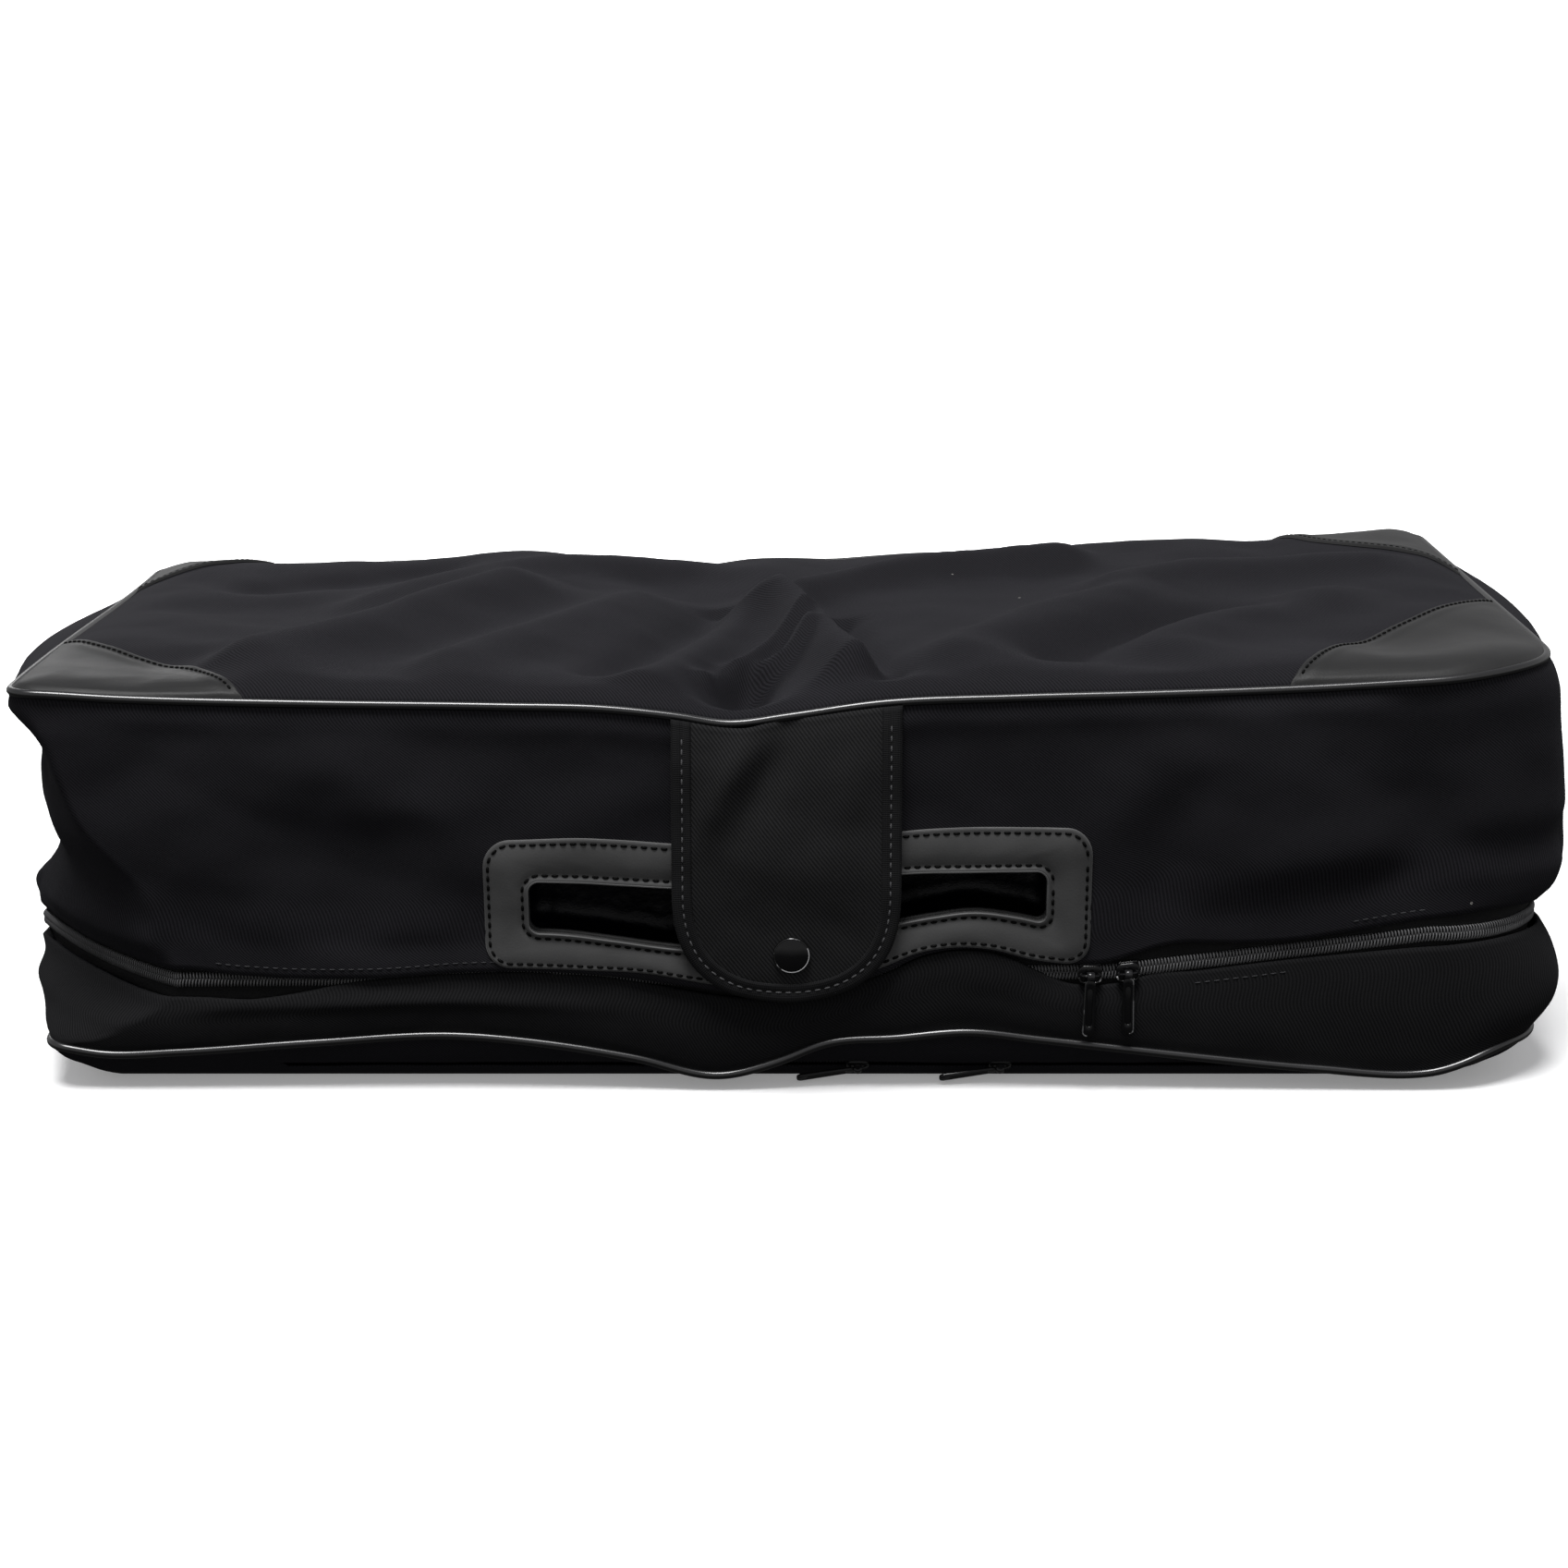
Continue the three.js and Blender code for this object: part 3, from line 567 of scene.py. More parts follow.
def relief(tree, shader, height, strength, distance=0.0001):
    """Fine relief too small for the mesh."""
    made = node(tree, "ShaderNodeBump", in_Strength=strength, in_Distance=distance)
    tree.links.new(height, made.inputs["Height"])
    tree.links.new(made.outputs[0], shader.inputs["Normal"])


def wave_number(pitch):
    """Turns per metre of a pattern that repeats every pitch millimetres, in radians."""
    return 2 * math.pi / (pitch / 1000)


def twill(name, dark, light, pitch, contrast):
    """Black twill: fine diagonal ribs of crossed threads, uneven dye, a soft bloom and specks of lint."""
    mat, tree, shader = material(name)
    u, v, _ = split_node(tree, "UV")
    k = wave_number(pitch)
    drift = math_node(tree, "MULTIPLY", noise_node(tree, 60.0, 2.0, "UV"), 3.0)
    ribs = math_node(tree, "SINE", scaled(tree, v, k * 0.62, scaled(tree, u, k * 0.78, drift)))
    threads = math_node(tree, "MULTIPLY", ripple_node(tree, u, k * 1.9), ripple_node(tree, v, k * 1.9))
    weave = scaled(tree, threads, 0.45, ribs)
    cloud = noise_node(tree, 9.0, 4.0, in_Roughness=0.6)
    fuzz = noise_node(tree, 1400.0, 2.0)
    tone = scaled(tree, fuzz, 0.26, scaled(tree, cloud, 0.26, scaled(tree, weave, contrast, 0.26)))
    speck = texture(tree, "Voronoi", in_Scale=36.0, in_Randomness=1.0)
    near = math_node(tree, "LESS_THAN", speck.outputs["Distance"], 0.022)
    pick = node(tree, "ShaderNodeSeparateColor")
    tree.links.new(speck.outputs["Color"], pick.inputs[0])
    lint = math_node(tree, "MULTIPLY", near, math_node(tree, "GREATER_THAN", pick.outputs[0], 0.6))
    lint = math_node(tree, "MULTIPLY", lint, 0.75)
    dyed = ramp_node(tree, tone, [(0.15, dark), (0.85, light)])
    surface(
        tree,
        shader,
        blend_node(tree, lint, dyed, (0.35, 0.34, 0.32)),
        scaled(tree, cloud, 0.12, 0.72),
        Specular_IOR_Level=0.04,
        Sheen_Weight=0.015,
        Sheen_Roughness=0.45,
        Sheen_Tint=(0.75, 0.76, 0.85, 1),
    )
    relief(tree, shader, scaled(tree, fuzz, 0.5, weave), 0.4)
    return mat


def leatherette(name, dark, light, rough):
    """Smooth synthetic leather: a fine pebble grain, faint creases and a little rubbing."""
    mat, tree, shader = material(name)
    grain = texture(tree, "Voronoi", in_Scale=1500.0, feature="SMOOTH_F1")
    crease = noise_node(tree, 38.0, 6.0, in_Roughness=0.62)
    tone = scaled(tree, crease, 0.4, scaled(tree, noise_node(tree, 12.0, 3.0), 0.5, 0.1))
    color = ramp_node(tree, tone, [(0.3, dark), (0.8, light)])
    surface(tree, shader, color, scaled(tree, crease, 0.22, rough - 0.11), Specular_IOR_Level=0.2)
    relief(tree, shader, scaled(tree, crease, 1.5, grain.outputs["Distance"]), 0.35)
    return mat


def vinyl(name, color, rough, shine=0.5):
    """Glossy cord cover: nearly black, with slight waves in its skin and dulled patches."""
    mat, tree, shader = material(name)
    wear_and_glint = noise_node(tree, 25.0, 5.0)
    lighter = tuple(c * 1.8 + 0.003 for c in color)
    skin = ramp_node(tree, wear_and_glint, [(0.35, color), (0.75, lighter)])
    surface(tree, shader, skin, scaled(tree, wear_and_glint, 0.08, rough - 0.04), Specular_IOR_Level=shine)
    relief(tree, shader, noise_node(tree, 45.0, 1.0), 0.06, 0.0004)
    return mat


def enamel(name, color, rough, metal):
    """Black enamelled metal, rubbed to a lighter tone on its edges."""
    mat, tree, shader = material(name)
    geometry = node(tree, "ShaderNodeNewGeometry")
    edges = ramp_node(tree, geometry.outputs["Pointiness"], [(0.56, (0, 0, 0)), (0.68, (1, 1, 1))])
    scuff = noise_node(tree, 500.0, 4.0)
    amount = math_node(tree, "MULTIPLY", edges, math_node(tree, "MULTIPLY", scuff, 0.9))
    surface(
        tree,
        shader,
        blend_node(tree, amount, color, (0.22, 0.22, 0.23)),
        scaled(tree, scuff, 0.15, rough - 0.06),
        Metallic=metal,
        Specular_IOR_Level=0.3,
        Coat_Weight=0.2,
        Coat_Roughness=0.05,
    )
    return mat


def glint_metal(name, dark, bright):
    """A painted highlight for the edges of black metal: bright in broken patches, black between."""
    mat, tree, shader = material(name)
    # The noise breaks the painted highlight into bright patches.
    broken_glint = noise_node(tree, 120.0, 3.0)
    tone = ramp_node(tree, broken_glint, [(0.48, dark), (0.54, bright)])
    surface(tree, shader, tone, scaled(tree, broken_glint, 0.2, 0.2), Metallic=0.5)
    return mat


def thread(name, dark, light):
    """Twisted sewing thread."""
    mat, tree, shader = material(name)
    wave = texture(tree, "Wave", in_Scale=900.0, in_Distortion=2.0, bands_direction="DIAGONAL")
    ply = wave.outputs[1]
    color = ramp_node(tree, ply, [(0.2, dark), (0.8, light)])
    surface(tree, shader, color, scaled(tree, ply, 0.2, 0.45), Specular_IOR_Level=0.1)
    relief(tree, shader, ply, 0.5)
    return mat


def ribbed(name, dark, light, pitch):
    """Tape or webbing: fine ribs across its UV length."""
    mat, tree, shader = material(name)
    run, across, _ = split_node(tree, "UV")
    k = wave_number(pitch)
    weave = scaled(tree, ripple_node(tree, across, k * 0.7), 0.5, ripple_node(tree, run, k))
    cloud = noise_node(tree, 40.0, 4.0)
    tone = scaled(tree, weave, 0.18, math_node(tree, "MULTIPLY", cloud, 0.9))
    color = ramp_node(tree, tone, [(0.1, dark), (0.9, light)])
    rough = scaled(tree, cloud, 0.2, 0.6)
    surface(tree, shader, color, rough, Specular_IOR_Level=0.12, Sheen_Weight=0.02)
    relief(tree, shader, weave, 0.5)
    return mat


def satin(name, dark, light):
    """Shiny lining cloth with soft puckers."""
    mat, tree, shader = material(name)
    fold = noise_node(tree, 16.0, 5.0, in_Distortion=0.6)
    yarn = noise_node(tree, 1800.0, 1.0)
    color = ramp_node(tree, fold, [(0.3, dark), (0.75, light)])
    rough = scaled(tree, yarn, 0.15, 0.24)
    surface(tree, shader, color, rough, Anisotropic=0.5, Specular_IOR_Level=0.2)
    relief(tree, shader, scaled(tree, fold, 30.0, yarn), 0.4, 0.0003)
    return mat


def grey(level, blue=None):
    """A neutral colour, or one whose blue part differs a little."""
    return (level, level, level if blue is None else blue)


CLOTH = twill("twill_cloth", (0.0062, 0.0060, 0.0070), (0.0278, 0.0271, 0.0312), 1.15, 0.2)
# The base's twill is a darker copy of the lid's twill: painted shade on the lower walls.
SHADED_BASE_CLOTH = twill("twill_base_painted_shade", grey(0.0050, 0.0053), grey(0.0200, 0.0211), 1.15, 0.2)
CLOTH_FLAP = twill("twill_flap", grey(0.0034, 0.0036), grey(0.036, 0.037), 1.3, 0.18)
BINDING = ribbed("binding_cloth", grey(0.005, 0.0055), grey(0.022, 0.023), 0.7)
LEATHER = leatherette("grey_leatherette", grey(0.020), grey(0.034), 0.46)
# The handle frame's leatherette is a lighter copy of the patches': painted light on its front-facing band.
LIT_FRAME_LEATHER = leatherette("frame_leatherette_painted_light", grey(0.052), grey(0.106), 0.36)
PIPING = vinyl("piping_vinyl", grey(0.003, 0.0034), 0.27, 1.0)
COIL = vinyl("coil_nylon", grey(0.085, 0.087), 0.4)
TAPE = ribbed("zip_tape", grey(0.005, 0.0052), grey(0.02, 0.0205), 0.5)
HARDWARE = enamel("black_enamel", grey(0.005, 0.0055), 0.16, 0.1)
# Painted highlights: a bright broken rim for the snap and sliders, and a dimmer one along one side of each
# pull.
RIM_GLINT = glint_metal("painted_rim_glint", grey(0.03), grey(0.85, 0.86))
SIDE_GLINT = glint_metal("painted_side_glint", grey(0.05), grey(0.22, 0.225))
LINING = satin("satin_lining", grey(0.0006, 0.0014), grey(0.0026, 0.0052))
ELASTIC = ribbed("elastic_webbing", grey(0.008, 0.009), grey(0.028, 0.03), 1.6)
DARK_THREAD = thread("dark_thread", grey(0.0008), grey(0.004))
EDGE_PAINT = vinyl("edge_paint", grey(0.07), 0.5)
SEAM_THREAD = thread("seam_thread", grey(0.03, 0.032), grey(0.09, 0.095))
PALE_THREAD = thread("grey_thread", grey(0.05, 0.052), grey(0.15, 0.155))


# ---------- shared shapes ----------
def loft(name, rings, body, closed=True, skip=None):
    """A sheet through a stack of rings of points, with UVs in millimetres along and across it."""
    rings = np.array(rings, float)
    rows, columns = rings.shape[:2]
    steps = np.linalg.norm(np.diff(rings, axis=1), axis=2)
    u = np.concatenate([np.zeros((rows, 1)), np.cumsum(steps, axis=1)], axis=1)
    v = np.concatenate([[0], np.cumsum(np.linalg.norm(np.diff(rings, axis=0), axis=2).mean(axis=1))])
    uvs = [(u[r, c], v[r]) for r in range(rows) for c in range(columns)]
    faces = grid_faces(rows, columns, wrap=closed)
    if skip is not None:
        faces = [f for f in faces if not skip(f[0] // columns, f[0] % columns)]
    obj = new_object(name, rings.reshape(-1, 3), faces, body, uvs)
    if closed:
        layer = obj.data.uv_layers[0]
        whole = float(u[rows // 2, -1]) / 1000
        for poly in obj.data.polygons:
            us = [layer.data[i].uv[0] for i in poly.loop_indices]
            if max(us) - min(us) > whole / 2:
                for i in poly.loop_indices:
                    if layer.data[i].uv[0] < whole / 2:
                        layer.data[i].uv[0] += whole
    return obj


def run_length(points):
    """The distance from the first point of a line to each of its points."""
    return np.concatenate([[0], np.cumsum(np.linalg.norm(np.diff(points, axis=0), axis=1))])


def unit_rows(vectors):
    return vectors / np.linalg.norm(vectors, axis=1)[:, None]


def swept_faces(n, m, closed, flip=False):
    """Faces of a solid swept through n sections of m points. An open one gets a cap at each end."""
    quads = []
    for i in range(n if closed else n - 1):
        j = (i + 1) % n
        for k in range(m):
            q = (k + 1) % m
            quads.append((i * m + k, i * m + q, j * m + q, j * m + k))
    caps = [] if closed else [tuple(reversed(range(m))), tuple((n - 1) * m + k for k in range(m))]
    if flip:
        quads = [(a, d, c, b) for a, b, c, d in quads]
        caps = [tuple(reversed(cap)) for cap in caps]
    return quads + caps


def round_section(middle, side, up, r, sides):
    """Points of a round cord about a line, from two unit directions across it."""
    turn = np.arange(sides) * 2 * math.pi / sides
    ring = np.cos(turn)[None, :, None] * side[:, None] + np.sin(turn)[None, :, None] * up[:, None]
    return (middle[:, None] + r * ring).reshape(-1, 3)


def tube(name, centres, r, body, closed=True, sides=12):
    """A round cord along a line of points."""
    centres = np.array(centres, float)
    if closed:
        along = np.roll(centres, -1, axis=0) - np.roll(centres, 1, axis=0)
    else:
        along = np.gradient(centres, axis=0)
    along = unit_rows(along)
    side = unit_rows(np.cross(along, (0.0, 0.0, 1.0)))
    vertices = round_section(centres, side, np.cross(side, along), r, sides)
    return new_object(name, vertices, swept_faces(len(centres), sides, closed, flip=True), body)


def edit_mesh(obj, change):
    """Runs change on a bmesh of an object's mesh and writes it back."""
    work = bmesh.new()
    work.from_mesh(obj.data)
    change(work)
    work.to_mesh(obj.data)
    work.free()


def merge_close(obj):
    edit_mesh(obj, lambda work: bmesh.ops.remove_doubles(work, verts=work.verts, dist=0.00005))


def face_outward(obj):
    edit_mesh(obj, lambda work: bmesh.ops.recalc_face_normals(work, faces=work.faces))


def close_middle(obj, rings):
    """Fills the hole inside the last of the rings that a sheet was lofted through."""
    first = (len(rings) - 1) * NC

    def fill(work):
        inner = [e for e in work.edges if all(v.index >= first for v in e.verts) and e.is_boundary]
        bmesh.ops.edgeloop_fill(work, edges=inner)

    edit_mesh(obj, fill)


def section_loop(name, sections, body, closed=True):
    """A solid swept from equal cross-sections, each a closed ring of points."""
    sections = np.array(sections, float)
    n, m = sections.shape[:2]
    u, v = run_length(sections[:, 0]), run_length(sections[0])
    uvs = [(u[i], v[k]) for i in range(n) for k in range(m)]
    obj = new_object(name, sections.reshape(-1, 3), swept_faces(n, m, closed), body, uvs)
    face_outward(obj)
    return obj


def resample(points, step, closed=False):
    """Evenly spaced points along a line of points."""
    points = np.array(points, float)
    if closed:
        points = np.vstack([points, points[:1]])
    run = run_length(points)
    count = max(2, int(round(run[-1] / step)))
    at = np.linspace(0, run[-1], count + 1)
    if closed:
        at = at[:-1]
    return np.stack([np.interp(at, run, points[:, i]) for i in range(3)], axis=1)


# One stitch: (place along it, width, height) of each of its sections, and how many sides a section has.
STITCH_SHAPE = (
    *((-0.5, 0.15, -0.5), (-0.42, 0.75, 0.1), (-0.2, 1.0, 0.5)),
    *((0.2, 1.0, 0.5), (0.42, 0.75, 0.1), (0.5, 0.15, -0.5)),
)
STITCH_SIDES = 6
STITCH_FACES = swept_faces(len(STITCH_SHAPE), STITCH_SIDES, False)


def stitches(name, line, normals, pitch, length, r, body, mat, closed=False):
    """A row of short thread loops along a line, each half sunk in the cloth."""
    both = np.hstack([np.array(line, float), np.array(normals, float)])
    if closed:
        both = np.vstack([both, both[:1]])
    run = run_length(both[:, :3])
    vertices = []
    faces = []

    def at(place):
        return np.array([np.interp(place, run, both[:, k]) for k in range(6)])

    for i in range(int(run[-1] / pitch)):
        middle = (i + 0.5) * pitch
        start, centre, stop = at(middle - length / 2), at(middle), at(middle + length / 2)
        along = stop[:3] - start[:3]
        along /= np.linalg.norm(along)
        out = centre[3:] / np.linalg.norm(centre[3:])
        side = np.cross(along, out)
        faces += [tuple(len(vertices) + v for v in face) for face in STITCH_FACES]
        for step, wide, high in STITCH_SHAPE:
            p = centre[:3] + along * step * length + out * high * r
            for k in range(STITCH_SIDES):
                a = 2 * math.pi * k / STITCH_SIDES
                vertices.append(p + wide * r * (math.cos(a) * side + 0.8 * math.sin(a) * out))
    return finish_piece(new_object(name, vertices, faces, body), mat)


CORNER_POINTS = 10
SIDE_POINTS = (90, 18)


def rounded_rect(cx, cz, half_w, half_h, r):
    """Points round a rectangle with rounded corners, counted so that any two of them pair up."""
    corners = ((1, 1, 0), (-1, 1, 90), (-1, -1, 180), (1, -1, 270))

    def on_corner(q, turn):
        sx, sz, start = corners[q % 4]
        a = math.radians(start + turn)
        return (cx + sx * (half_w - r) + r * math.cos(a), cz + sz * (half_h - r) + r * math.sin(a))

    points = []
    for q in range(4):
        points += [on_corner(q, 90 * i / (CORNER_POINTS - 1)) for i in range(CORNER_POINTS)]
        a, b = points[-1], on_corner(q + 1, 0)
        count = SIDE_POINTS[q % 2]
        points += [(mix(a[0], b[0], i / count), mix(a[1], b[1], i / count)) for i in range(1, count)]
    return np.array(points)


def lathe(name, outline, centre, axis, body, sides=40):
    """A turned piece: outline is (radius, height) pairs from its foot to its crown, along axis."""
    axis = np.array(axis, float)
    axis /= np.linalg.norm(axis)
    side = np.cross(axis, (0, 0, 1.0) if abs(axis[0]) > 0.9 else (1.0, 0, 0))
    side /= np.linalg.norm(side)
    other = np.cross(axis, side)
    vertices = []
    for r, h in outline:
        for k in range(sides):
            a = 2 * math.pi * k / sides
            vertices.append(np.array(centre) + axis * h + r * (math.cos(a) * side + math.sin(a) * other))
    obj = new_object(name, vertices, swept_faces(len(outline), sides, False), body)
    face_outward(obj)
    return obj


# ---------- cloth simulation ----------
DRAPE_FRAMES = 18
DRAPE_SPARE = 0.012
DRAPE_CAP = 5.0
DRAPE_STEP = 2
DRAPE_SMOOTHING = 7


def soften(shift):
    """One pass of smoothing across the rows and then along them."""
    shift[1:-1] = (shift[:-2] + 2 * shift[1:-1] + shift[2:]) / 4
    shift[:, 1:-1] = (shift[:, :-2] + 2 * shift[:, 1:-1] + shift[:, 2:]) / 4


def drape(grid, held, wrap):
    """Lets a grid of cloth settle with a little spare cloth in it, and gives how far each point moved.

    held marks the points that stay put. No point moves further than DRAPE_CAP.
    """
    coarse = grid[:, ::DRAPE_STEP]
    pinned = held[:, ::DRAPE_STEP]
    rows, columns = coarse.shape[:2]
    mesh = bpy.data.meshes.new("draping")
    mesh.from_pydata((coarse.reshape(-1, 3) / 100).tolist(), [], grid_faces(rows, columns, wrap))
    obj = bpy.data.objects.new("draping", mesh)
    bpy.context.scene.collection.objects.link(obj)
    group = obj.vertex_groups.new(name="held")
    group.add([int(i) for i in np.flatnonzero(pinned.ravel())], 1.0, "ADD")
    cloth = obj.modifiers.new("cloth", "CLOTH")
    settings = cloth.settings
    settings.quality = 5
    settings.mass = 0.02
    settings.tension_stiffness = 12
    settings.compression_stiffness = 12
    settings.shear_stiffness = 6
    settings.bending_stiffness = 1.5
    settings.air_damping = 2.5
    settings.shrink_min = -DRAPE_SPARE
    settings.vertex_group_mass = "held"
    settings.effector_weights.gravity = 0.02
    cloth.collision_settings.use_collision = False
    cloth.point_cache.frame_start = 1
    cloth.point_cache.frame_end = DRAPE_FRAMES
    for frame_number in range(1, DRAPE_FRAMES + 1):
        bpy.context.scene.frame_set(frame_number)
    settled = obj.evaluated_get(bpy.context.evaluated_depsgraph_get())
    after = np.zeros(rows * columns * 3)
    settled.data.vertices.foreach_get("co", after)
    shift = after.reshape(rows, columns, 3) * 100 - coarse
    bpy.context.scene.frame_set(1)
    bpy.data.objects.remove(obj)
    bpy.data.meshes.remove(mesh)
    for _ in range(DRAPE_SMOOTHING):
        soften(shift)
    size = np.linalg.norm(shift, axis=2, keepdims=True)
    shift *= DRAPE_CAP * np.tanh(size / DRAPE_CAP) / np.maximum(size, 1e-6)
    if wrap:
        shift = np.concatenate([shift, shift[:, :1]], axis=1)
    where = np.minimum(np.arange(grid.shape[1]) / DRAPE_STEP, shift.shape[1] - 1)
    low = np.floor(where).astype(int)
    high = np.minimum(low + 1, shift.shape[1] - 1)
    part = (where - low)[None, :, None]
    return shift[:, low] * (1 - part) + shift[:, high] * part


# ---------- the walls of lid and base ----------
def wall_grid(rows, left_level, right_level, low, high, lift, swell):
    """A wall's points, row by row from low to high. The levels pick the outlines that it follows."""
    grid = np.zeros((rows, NC, 3))
    for r in range(rows):
        t = r / (rows - 1)
        plan = plan_level(mix(*left_level, t), mix(*right_level, t))
        x, y = plan[:, 0], plan[:, 1]
        z = mix(low(x, y), high(x, y), t)
        out = swell(x, y, z, t)
        normal = outward(plan)
        grid[r, :, 0] = x + normal[:, 0] * out
        grid[r, :, 1] = y + normal[:, 1] * out
        grid[r, :, 2] = z + lift(x, y, z)
    return grid


# The folded edge of a wall: how far each of its two rings goes inwards, and back along the wall.
HEM_RINGS = ((2.2 * 0.55, -0.15 * 1.2), (2.2, 1.2 * 1.4))


def hem(grid, at_top):
    """Adds the folded edge of a wall."""
    edge = grid[-1] if at_top else grid[0]
    normal = outward(edge[:, :2])
    back = -1 if at_top else 1
    rolled = []
    for inward, along in HEM_RINGS:
        ring = edge.copy()
        ring[:, 0] -= normal[:, 0] * inward
        ring[:, 1] -= normal[:, 1] * inward
        ring[:, 2] += back * along
        rolled.append(ring)
    if at_top:
        return np.concatenate([grid, rolled])
    return np.concatenate([rolled[::-1], grid])


LID_ROWS = 48
BASE_ROWS = 22
WALL_THICK = 1.3
LID_GUSSETS = ["upper_front_gusset", "upper_back_gusset", "upper_left_end", "upper_right_end"]
BASE_GUSSETS = ["lower_front_gusset", "lower_back_gusset", "lower_left_end", "lower_right_end"]


def lid_swell(x, y, z, t):
    out = lid_out(x, y, z, FRONT_WEIGHT)
    hollow = -3.0 * bump(z - 0.05 * (y + 100), 118, 15) * (1 - smooth((y + 20) / 80))
    lip = 2.6 * bump(z, 62, 6) * (1 - smooth((y - 20) / 90))
    out = out + (hollow + lip) * IS_LEFT * smooth(ALONG * 3)
    fold = -2.4 * bump(z + 0.10 * (y + 100), 92, 7) + 1.0 * bump(z + 0.1 * (y + 100), 108, 12)
    return out + fold * IS_RIGHT * (1 - smooth((y - 30) / 100)) * smooth(ALONG * 4)


lid_grid = wall_grid(
    LID_ROWS, (53, TOP_Z), (66, TOP_Z), lid_edge, lambda x, y: TOP_Z + 0 * x, lid_lift, lid_swell
)
# The lid's wall is free to settle away from its two edges and from the handle.
GRIP_CLEAR = smooth((np.abs(lid_grid[:, :, 0] - 5) - 122) / 30) * IS_FRONT[None, :] + ~IS_FRONT[None, :]
EDGE_CLEAR = smooth(np.minimum(np.arange(LID_ROWS) - 3, LID_ROWS - 3 - np.arange(LID_ROWS)) / 5)[:, None]
LID_FREE = GRIP_CLEAR * EDGE_CLEAR
lid_grid = lid_grid + drape(lid_grid, LID_FREE < 0.02, True) * LID_FREE[:, :, None]
lid_rings = hem(lid_grid, at_top=False)

# The handle's middle, and half the sizes of its hand slot and of its frame.
GRIP_X = sum(span("handle_frame", 0)) / 2
GRIP_Z = sum(span("handle_frame", 2)) / 2
GRIP_HALF_W = 103
GRIP_HALF_H = 12
SLOT_SPARE = 5
FRAME_HALF_W = (span("handle_frame", 0)[1] - span("handle_frame", 0)[0]) / 2
FRAME_HALF_H = (span("handle_frame", 2)[1] - span("handle_frame", 2)[0]) / 2
plain_z = lid_rings[:, :, 2] - front_lift(lid_rings[:, :, 0], lid_rings[:, :, 2])


def behind_frame(r, c):
    """Whether a face of the lid's wall lies in the hand slot, where the cloth is cut away."""
    if not IS_FRONT[c]:
        return False
    x, z = lid_rings[r, c, 0], plain_z[r, c]
    return abs(x - GRIP_X) < GRIP_HALF_W + SLOT_SPARE and abs(z + 1.2 - GRIP_Z) < GRIP_HALF_H + SLOT_SPARE


lid_wall = loft("lid_cloth", lid_rings, "lid", skip=behind_frame)
thicken(lid_wall, WALL_THICK)
finish_piece(lid_wall, CLOTH, LID_GUSSETS)


def base_swell(x, y, z, t):
    out = 0.9 * cloth_noise(x, y + 50, z, 60) + 0.4 * cloth_noise(x, y, z, 22, 2)
    pleat = 1.1 * np.sin(t * 13 + x * 0.02) * bump(z, 34, 12) * IS_LEFT * (1 - smooth((y + 40) / 90))
    ledge = 2.2 * bump(z, 37, 4) * (1 - smooth((x + 150) / 120)) * FRONT_WEIGHT
    full = 2.0 * math.sin(math.pi * t) + 1.5 * bump(x, 75, 40) * smooth((t - 0.4) / 0.5) * FRONT_WEIGHT
    return (out + pleat + ledge + full) * float(smooth(t / 0.15)) - 0.4


base_grid = wall_grid(
    BASE_ROWS,
    (BOTTOM_Z, 42),
    (BOTTOM_Z, 58),
    lambda x, y: BOTTOM_Z + 0 * x,
    base_edge,
    lambda x, y, z: bottom_lift(x, y) * (1 - smooth((z - BOTTOM_Z) / (base_edge(x, y) - BOTTOM_Z))),
    base_swell,
)
base_wall = loft("base_cloth", hem(base_grid, at_top=True), "base")
thicken(base_wall, WALL_THICK)
finish_piece(base_wall, SHADED_BASE_CLOTH, BASE_GUSSETS)

# ---------- piping round both seams ----------
PIPING_R = 1.75
PIPING_STEP = 1.6
PIPING_SMOOTHING = 6


def even_line(line):
    """The same closed line with even, softened steps."""
    line = resample(line, PIPING_STEP, closed=True)
    for _ in range(PIPING_SMOOTHING):
        line = (np.roll(line, 1, axis=0) + 2 * line + np.roll(line, -1, axis=0)) / 4
    return line


def seam_line(level, height):
    plan = plan_level(level)
    x, y = plan[:, 0], plan[:, 1]
    return np.stack([x, y, height(x, y)], axis=1)


top_line = seam_line(TOP_Z, seam_z)
bottom_line = seam_line(BOTTOM_Z, lambda x, y: BOTTOM_Z + bottom_lift(x, y))
for cord_name, cord_line, cord_body, cord_node in (
    ("top_piping_cord", top_line, "lid", "top_piping"),
    ("bottom_piping_cord", bottom_line, "base", "bottom_piping"),
):
    cord_piece = tube(cord_name, even_line(cord_line), PIPING_R, cord_body, sides=20)
    finish_piece(cord_piece, PIPING, [cord_node])


# ---------- the crowned top panel ----------
top_plan = plan_level(TOP_Z, inset=0.6) - np.array((0, MID_Y))
PLAN_TURN = np.unwrap(np.arctan2(top_plan[:, 1], top_plan[:, 0]))
if PLAN_TURN[-1] < PLAN_TURN[0]:
    PLAN_TURN = PLAN_TURN[::-1]
    top_plan = top_plan[::-1]
PLAN_REACH = np.hypot(top_plan[:, 0], top_plan[:, 1])
PANEL_R = 24


def plain_place(s, t):
    """Maps s and t, each from -1 to 1, onto a rectangle with rounded corners."""
    x, y = s * HALF_X, t * HALF_Y
    p = np.clip((np.abs(x) - (HALF_X - PANEL_R)) / PANEL_R, 0, 1)
    q = np.clip((np.abs(y) - (HALF_Y - PANEL_R)) / PANEL_R, 0, 1)
    corner = (p > 0) & (q > 0)
    x = np.where(corner, np.sign(x) * (HALF_X - PANEL_R + PANEL_R * p * np.sqrt(1 - q * q / 2)), x)
    y = np.where(corner, np.sign(y) * (HALF_Y - PANEL_R + PANEL_R * q * np.sqrt(1 - p * p / 2)), y)
    return x, y


